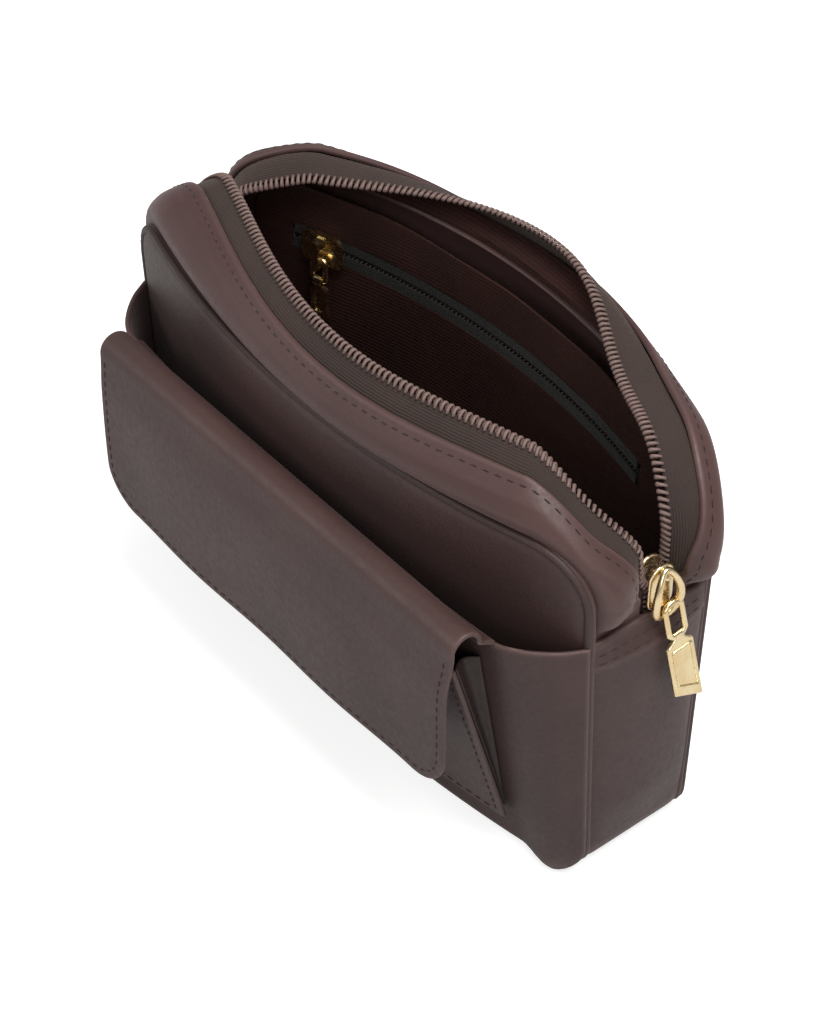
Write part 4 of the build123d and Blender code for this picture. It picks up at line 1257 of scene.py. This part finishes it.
class POUCH_OT_lining(PouchOperator):
    """Adds the lining cloth, with its loose fold along the top"""

    bl_idname = "pouch.lining"
    bl_label = "Lining"

    def build(self):
        outline = (HALF - 2.6, 2.6, PANEL_HIGH - 4.5, BOTTOM_CORNER - 2, PANEL_CORNER - 4)
        x, z = rounded_grid(*outline, 90, 50, LINING / 2)
        d = inside_distance(x, z, *outline)
        edge = inside_distance(x, z, *PANEL_OUTLINE)
        y = wall_y(-1, x, z, -2.2) + ripple(x, z, 21, 0.25, 40.0) + 3.4 * np.exp(-((edge / 4.2) ** 2))
        front = two_faced(
            "front_lining_cloth", stack(x, y, z), rim_depth(d, 0.6), finish="lining",
            replaces=("front_lining",), slot="lining",
        )
        xs = graded(-1, 1, 120, 0.005)
        zs = graded(outline[1], outline[2], 60, 0.4)
        cuts = np.array([-INNER_HALF - 0.25, -INNER_HALF, 0, INNER_HALF, INNER_HALF + 0.25])
        beside = zs[np.abs(zs - INNER_ZIP_Z) > INNER_HALF + 0.3]
        zs = np.unique(np.concatenate([beside, INNER_ZIP_Z + cuts]))
        wide = half_at(zs, *outline)
        x = xs[:, None] * wide[None, :]
        z = np.broadcast_to(zs[None, :], x.shape)
        d = inside_distance(x, z, *outline)
        still = smooth((np.abs(z - INNER_ZIP_Z) - 6) / 6)
        y = wall_y(1, x, z, *REAR_LINING) - ripple(x, z, 22, 0.35, 34.0) * still
        centre_x = (x[:-1, :-1] + x[1:, 1:]) / 2
        centre_z = (z[:-1, :-1] + z[1:, 1:]) / 2
        between = (centre_x > INNER_LEFT) & (centre_x < INNER_RIGHT)
        keep = ~(between & (np.abs(centre_z - INNER_ZIP_Z) < INNER_HALF))
        rear = two_faced(
            "rear_lining_cloth", stack(x, y, z)[::-1], rim_depth(d, 0.6)[::-1], keep=keep[::-1],
            finish="lining", replaces=("rear_lining",), slot="lining",
        )
        p = graded(4, GUSSET_LONG - 4, 120, 0.4)
        v = graded(0, 1, 24, 0.02)
        p, v = grid(p, v)
        px, pz, nx, nz, _ = outline_point(p)
        ix, iz = px - nx * 2.0, pz - nz * 2.0
        a, b = wall_y(-1, ix, iz, -2.3), wall_y(1, ix, iz, -5.2, -8.2)
        mid = stack(ix, a + (b - a) * v, iz)
        d = least(30 * v, 30 * (1 - v), p - 4, GUSSET_LONG - 4 - p)
        ends = two_faced(
            "gusset_lining_cloth", mid, rim_depth(d, 0.6), finish="lining",
            replaces=("gusset_lining",), slot="lining",
        )
        s = band_stations(16, 20, 180)
        t = graded(0, 1, 18, 0.04)
        s, t = grid(s, t)
        for side, name in ((-1, "front"), (1, "rear")):
            seam, row, out = band_axes(side, s)
            across = unit(row - seam)
            wide = apart(seam, row)
            reach = 1.0 + (wide - 7.5) * t
            arc = s * 60
            wave = (np.sin(arc / 11.0 + 1.0) + 0.6 * np.sin(arc / 5.7 + 0.4)) * np.sin(pi * t) ** 1.5
            slack = smooth((row[..., 2] - 88) / 12) if side > 0 else 0.2
            fold = (2.6 + 1.5 * wave) * np.sin(pi * t) * slack
            depth = 2.4 - band_swell(side, s, reach / wide) + fold
            mid = seam + across * reach[..., None] - out * depth[..., None]
            d = least(t * (wide - 1.5), (1 - t) * (wide - 1.5), 25 * s, 25 * (5 - s))
            upper = two_faced(
                name + "_lining_top", mid[::side], rim_depth(d, 0.5)[::side], finish="lining",
                slot="lining",
            )


class POUCH_OT_pocket_zip(PouchOperator):
    """Adds the zipped pocket in the rear lining"""

    bl_idname = "pouch.pocket_zip"
    bl_label = "Pocket zip"

    def build(self):
        def inner(lift):
            """A wall parallel to the rear lining, lift millimetres inside its middle."""
            def surface(x, z):
                y = wall_y(1, x, INNER_ZIP_Z, REAR_LINING[0] - lift, REAR_LINING[1] - lift)
                return stack(x, y + (z - INNER_ZIP_Z) * 0.05, z)
            return surface

        back = inner(-1.3)
        x, z = np.meshgrid(
            graded(INNER_LEFT - 4, INNER_RIGHT + 4, 90, 0.3),
            graded(INNER_ZIP_Z - 9, INNER_ZIP_Z + 9, 14, 0.3), indexing="ij",
        )
        d = np.minimum(np.minimum(x - INNER_LEFT + 4, INNER_RIGHT + 4 - x), 9 - np.abs(z - INNER_ZIP_Z))
        two_faced(
            "pocket_zip_facing_cloth", back(x, z)[::-1], rim_depth(d, 0.5)[::-1],
            finish="dark tape", replaces=("inner_zip_facing",), slot="lining",
        )
        tape = inner(0.0)
        for index, (low, high) in enumerate(INNER_TAPES):
            x, z = np.meshgrid(
                graded(INNER_LEFT + 0.4, INNER_RIGHT - 0.4, 90, 0.2),
                INNER_ZIP_Z + graded(low, high, 8, 0.2), indexing="ij",
            )
            d = least(
                x - INNER_LEFT - 0.4, INNER_RIGHT - 0.4 - x, z - INNER_ZIP_Z - low,
                high - z + INNER_ZIP_Z,
            )
            two_faced("pocket_zip_tape_%d" % index, tape(x, z)[::-1], rim_depth(d, 0.4)[::-1],
                      finish="dark tape", replaces=("inner_zip_tapes",) if index == 0 else (),
                      slot="zip_tape")
        line = np.linspace(INNER_LEFT + 1, INNER_RIGHT - 1, 400)
        parts = []
        for sign in (-1, 1):
            path = inner(-0.5)(line, np.full(400, INNER_ZIP_Z + sign * 0.8))
            steps = resampled(path, INNER_TOOTH_PITCH, 0.5 if sign < 0 else 1.0)
            origin = along_path(path, steps)
            ahead = unit(along_path(np.gradient(path, axis=0), steps)) * -sign
            across = np.broadcast_to([0.0, 0.0, -1.0 * sign], ahead.shape)
            points, faces = tooth_shape()
            parts.append(repeated((points * 0.5, faces), origin, ahead, across, np.cross(ahead, across)))
        points, faces = joined(parts)
        mesh_object(
            "pocket_zip_coil", points, faces, finish="dark teeth",
            replaces=("inner_zip_teeth",), slot="zip_teeth",
        )

        def lining(x, z):
            return stack(x, wall_y(1, x, z, *REAR_LINING), z)

        gap = 1.6
        low, high = INNER_ZIP_Z - INNER_HALF - gap, INNER_ZIP_Z + INNER_HALF + gap
        rows = stitched_box(
            mirrored(lining), -INNER_RIGHT - gap, -INNER_LEFT + gap, low, high, (160, 20), 0.36,
            capsule(*LINING_STITCH),
        )
        add_stitches("pocket_zip_stitches", rows, "lining thread")
        x, z = np.meshgrid(
            graded(INNER_LEFT, INNER_RIGHT + 4, 80, 0.3),
            graded(INNER_ZIP_Z - 46, INNER_ZIP_Z + 10, 40, 0.3), indexing="ij",
        )
        y = wall_y(1, x, z, -2.4, -4.0)
        d = least(x - INNER_LEFT, INNER_RIGHT + 4 - x, z - INNER_ZIP_Z + 46, INNER_ZIP_Z + 10 - z)
        bag = two_faced(
            "pocket_bag_cloth", stack(x, y, z)[::-1], rim_depth(d, 0.5)[::-1],
            finish="lining", replaces=("inner_pocket_sheet",), slot="lining",
        )


def loop_path():
    """Side view of a belt loop, the same above and below its middle: height, and distance off
    the rear panel."""
    rise = np.array([24.0, 29.0, 34.0, 36.0, 38.0, 40.5, 45.0, 61.0])
    lift = np.array([1.3, 1.3, 1.5, 3.2, 6.5, 9.2, 10.0, 10.2])
    middle = rise[-1]
    z = np.concatenate([rise, 2 * middle - rise[-2::-1]])
    return z, np.concatenate([lift, lift[-2::-1]])


class POUCH_OT_belt_loops(PouchOperator):
    """Adds the two belt loops on the rear panel"""

    bl_idname = "pouch.belt_loops"
    bl_label = "Belt loops"

    def build(self):
        knots, offs = loop_path()
        gone = np.concatenate([[0], np.cumsum(np.hypot(np.diff(knots), np.diff(offs)))])
        for name, centre in (("left_belt_loop", -LOOP_X), ("right_belt_loop", LOOP_X)):
            def surface(x, s, centre=centre):
                z = np.interp(s, gone, knots)
                off = np.interp(s, gone, offs)
                return stack(x, wall_y(1, x, z) + off, z)
            x, s = np.meshgrid(
                graded(centre - LOOP_WIDE / 2, centre + LOOP_WIDE / 2, 26, 1.0),
                graded(0, gone[-1], 90, 1.0), indexing="ij",
            )
            d = least(LOOP_WIDE / 2 - np.abs(x - centre), s, gone[-1] - s)
            wall_sheet(
                name + "_leather", surface, x[::-1], s[::-1], d[::-1], 2.0, finish="leather",
                replaces=(name,), slot="leather",
            )
            turned = mirrored(surface)
            shape = capsule(*STITCH)
            left, right = -centre - LOOP_WIDE / 2 + 1.8, -centre + LOOP_WIDE / 2 - 1.8
            rows = []
            for low, high in ((1.6, 9.0), (gone[-1] - 9.0, gone[-1] - 1.6)):
                rows += stitched_box(turned, left, right, low, high, (30, 12), 1.06, shape)
                up = np.linspace(low, high, 16)
                for across in (np.linspace(left, right, 16), np.linspace(right, left, 16)):
                    rows.append(stitch_row(turned, across, up, SHORT_STITCH_PITCH, 1.06, shape))
            add_stitches(name + "_stitches", rows, "thread")


class POUCH_OT_hardware(PouchOperator):
    """Gives the sliders, pulls, stops and snap their metal"""

    bl_idname = "pouch.hardware"
    bl_label = "Hardware"

    def build(self):
        for name in ("inner_slider_body", "inner_pull_link", "inner_pull_tab"):
            self.paint(name, "gold")
        for name in ("magnetic_snap_base", "magnetic_snap_cap", "zip_end_stop", "zip_top_stops"):
            self.paint(name, "snap")
        self.slider()
        self.link()
        self.tab()

    def slider(self):
        """Two curved plates with a teardrop crown over the outer one: a rim round a window."""
        y, z = rounded_grid(*SLIDER_OUTLINE, 24, 30, 0.3)
        d = inside_distance(y, z, *SLIDER_OUTLINE)
        for name, out in (("main_slider_outer", 2.2), ("main_slider_inner", -2.2)):
            x = ZIP_PLANE + out - np.sign(out) * 0.035 * y ** 2
            order = slice(None) if out > 0 else slice(None, None, -1)
            mid = stack(x, y + SLIDER_Y, z + SLIDER_Z)
            two_faced(name, mid[order], rim_depth(d, 1.1)[order], finish="gold", body="main_slider",
                      replaces=("main_slider_body",) if out > 0 else (), slot="gold_metal")
        turn = np.linspace(0, 2 * pi, 72, endpoint=False)
        wide = 3.7 * np.sin(turn) * (1 + 0.25 * np.cos(turn))
        high = 6.9 * -np.cos(turn)
        out = ZIP_PLANE + 3.1 + 1.7 * (1 - (high / 7.5) ** 2)
        rim = stack(out, wide + SLIDER_Y, high + SLIDER_Z - 1.2)
        points, faces = tube(rim, 1.0 + 0.2 * np.cos(turn), sides=12, closed=True)
        mesh_object(
            "main_slider_crown", points, faces, finish="gold", body="main_slider",
            slot="gold_metal",
        )
        post = stack(
            np.linspace(ZIP_PLANE + 2.0, ZIP_PLANE + 4.4, 8), np.full(8, SLIDER_Y),
            SLIDER_Z + np.linspace(4.2, 3.2, 8),
        )
        points, faces = tube(post, np.array([1.4, 1.4, 1.3, 1.2, 1.1, 0.9, 0.6, 0.1]), sides=14)
        mesh_object(
            "main_slider_post", points, faces, finish="gold", body="main_slider",
            slot="gold_metal",
        )

    def hanging(self, drop, across, lift=0.0):
        """Points on the hanging pull: drop down it, across it, and lifted off its plane."""
        drop, across = np.asarray(drop, float), np.asarray(across, float)
        down = unit(np.array([0.20, 0.09, -1.0]))
        side = unit(np.cross(down, [1.0, 0.0, 0.0])) * -1
        face = np.cross(side, down) * (1 if np.cross(side, down)[0] > 0 else -1)
        bar = np.array([ZIP_PLANE + 4.8, SLIDER_Y + 1.4, SLIDER_Z - 5.2])
        return bar + drop[..., None] * down + across[..., None] * side + np.asarray(lift)[..., None] * face

    def link(self):
        """A long ring of wire from the crown to the tab, drawn as a narrow slot."""
        turn = np.linspace(0, 2 * pi, 64, endpoint=False)
        across = 2.45 * np.clip(np.sin(turn) * 1.35, -1, 1)
        drop = 4.0 - 4.9 * np.sign(np.cos(turn)) * np.abs(np.cos(turn)) ** 0.8
        points, faces = tube(self.hanging(drop, across, 0 * drop), 0.8, sides=12, closed=True)
        mesh_object("main_pull_ring", points, faces, finish="gold", body="main_link",
                    replaces=("main_pull_link",), slot="gold_metal")

    def tab(self):
        """A flat tab with a neck, a slanted lower end and a raised rim."""
        share, across = np.meshgrid(graded(0, 1, 60, 0.012), graded(-1, 1, 26, 0.06), indexing="ij")
        half = 1.4 + 2.6 * smooth((share - 0.06) / 0.14)
        drop = 7.6 + share * (19.5 + 2.0 * across)
        wide = across * half
        d = np.minimum(np.minimum(share, 1 - share) * 19, (1 - np.abs(across)) * half)
        two_faced("main_pull_tab_plate", self.hanging(drop, wide, 0 * wide), rim_depth(d, 1.5),
                  finish="gold", body="main_tab", replaces=("main_pull_tab",), slot="gold_metal")
        corner = np.array([[12.2, -2.8], [12.2, 2.8], [25.2, 2.8], [22.4, -2.8]])
        share = np.linspace(0, 1, 14)[:-1, None]
        line = np.concatenate([a + (b - a) * share for a, b in zip(corner, np.roll(corner, -1, 0))])
        points, faces = tube(
            self.hanging(line[:, 0], line[:, 1], np.full(len(line), 0.78)), 0.32, sides=8, closed=True,
        )
        mesh_object(
            "main_pull_tab_rim", points, faces, finish="gold", body="main_tab",
            slot="gold_metal",
        )

    def paint(self, name, finish):
        """Puts a finish on a node of the solid model."""
        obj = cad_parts[name]
        if not obj.material_slots:
            obj.data.materials.append(MATERIALS[finish])
        for place in obj.material_slots:
            place.material = MATERIALS[finish]


class POUCH_OT_stage(PouchOperator):
    """Adds the floor, the lights and the camera"""

    bl_idname = "pouch.stage"
    bl_label = "Stage"

    def build(self):
        scene = bpy.context.scene
        scene.view_settings.view_transform = "Standard"
        world = bpy.data.worlds.new("Studio")
        scene.world = world
        world.use_nodes = True
        t = Tree(world.node_tree)
        rays = t.add("ShaderNodeLightPath")
        strength = t.range(rays.outputs["Is Camera Ray"], 0.0, 1.0, 0.33, 1.0)
        sky = world.node_tree.nodes["Background"]
        sky.inputs[0].default_value = (1.0, 1.0, 1.0, 1.0)
        world.node_tree.links.new(strength, sky.inputs[1])
        mesh = bpy.data.meshes.new("Floor")
        mesh.from_pydata(
            [(-4, -4, -0.0005), (4, -4, -0.0005), (4, 4, -0.0005), (-4, 4, -0.0005)], [], [(0, 1, 2, 3)],
        )
        floor = bpy.data.objects.new("Floor", mesh)
        scene.collection.objects.link(floor)
        paint = bpy.data.materials.new("Studio floor")
        paint.use_nodes = True
        shader = paint.node_tree.nodes["Principled BSDF"]
        shader.inputs["Base Color"].default_value = (0.6, 0.6, 0.6, 1)
        shader.inputs["Roughness"].default_value = 0.9
        shader.inputs["Specular IOR Level"].default_value = 0.1
        t = Tree(paint.node_tree)
        rays = t.add("ShaderNodeLightPath")
        shader.inputs["Emission Color"].default_value = (1, 1, 1, 1)
        paint.node_tree.links.new(
            t.maths("MULTIPLY", rays.outputs["Is Camera Ray"], 0.7), shader.inputs["Emission Strength"],
        )
        mesh.materials.append(paint)
        self.light("Key", (0.4, 0.05, 1.15), 0.7, 15.5, (1.0, 0.98, 0.97))
        self.light("Front", (-0.6, -1.0, 0.75), 0.6, 4.6, (1.0, 1.0, 1.0))
        self.light("Side", (0.9, -0.5, 0.6), 0.5, 2.5, (1.0, 0.97, 0.95))
        self.camera(scene)

    def light(self, name, place, size, power, colour):
        """A square soft light that looks at the pouch."""
        lamp = bpy.data.lights.new(name, "AREA")
        lamp.size = size
        lamp.energy = power
        lamp.color = colour
        obj = bpy.data.objects.new(name, lamp)
        obj.location = place
        obj.rotation_mode = "QUATERNION"
        obj.rotation_quaternion = (Vector((0, 0, 0.06)) - Vector(place)).to_track_quat("-Z", "Y")
        bpy.context.scene.collection.objects.link(obj)

    def camera(self, scene):
        """The camera looks down on the pouch's front right corner."""
        data = bpy.data.cameras.new("Camera")
        data.lens = LENS
        data.sensor_width = SENSOR
        data.clip_start, data.clip_end = 0.01, 20
        camera = bpy.data.objects.new("Camera", data)
        azimuth, elevation = radians(CAMERA_AZIMUTH), radians(CAMERA_ELEVATION)
        back = Vector(
            (np.sin(azimuth) * np.cos(elevation), -np.cos(azimuth) * np.cos(elevation), np.sin(elevation))
        )
        aim = Vector(CAMERA_AIM) * MM
        camera.location = aim + back * CAMERA_DISTANCE
        camera.rotation_mode = "QUATERNION"
        camera.rotation_quaternion = (-back).to_track_quat("-Z", "Y")
        scene.collection.objects.link(camera)
        scene.camera = camera


PIECES = (
    POUCH_OT_finishes, POUCH_OT_panels, POUCH_OT_seams, POUCH_OT_gusset, POUCH_OT_zip_strips,
    POUCH_OT_zip_tapes, POUCH_OT_zip_teeth, POUCH_OT_slip_pocket, POUCH_OT_flap_pocket,
    POUCH_OT_flap, POUCH_OT_lining, POUCH_OT_pocket_zip, POUCH_OT_belt_loops, POUCH_OT_hardware, POUCH_OT_stage,
)


class POUCH_PT_sidebar(Panel):
    """Lists the pouch's settings and pieces in the sidebar"""

    bl_label = "Belt pouch"
    bl_idname = "POUCH_PT_sidebar"
    bl_space_type = "VIEW_3D"
    bl_region_type = "UI"
    bl_category = "Pouch"

    def draw(self, context):
        column = self.layout.column()
        for name in PouchSettings.__annotations__:
            column.prop(context.scene.pouch, name)
        for piece in PIECES:
            column.operator(piece.bl_idname)


CLASSES = (PouchSettings,) + PIECES + (POUCH_PT_sidebar,)


def register():
    """Registers the add-on's classes and its settings."""
    for cls in CLASSES:
        bpy.utils.register_class(cls)
    bpy.types.Scene.pouch = PointerProperty(type=PouchSettings)


def unregister():
    """Takes the add-on's classes and settings away again."""
    del bpy.types.Scene.pouch
    for cls in reversed(CLASSES):
        bpy.utils.unregister_class(cls)


def main():
    """Builds the pouch piece by piece."""
    register()
    for piece in PIECES:
        group, name = piece.bl_idname.split(".")
        getattr(getattr(bpy.ops, group), name)()


if __name__ == "__main__":
    main()
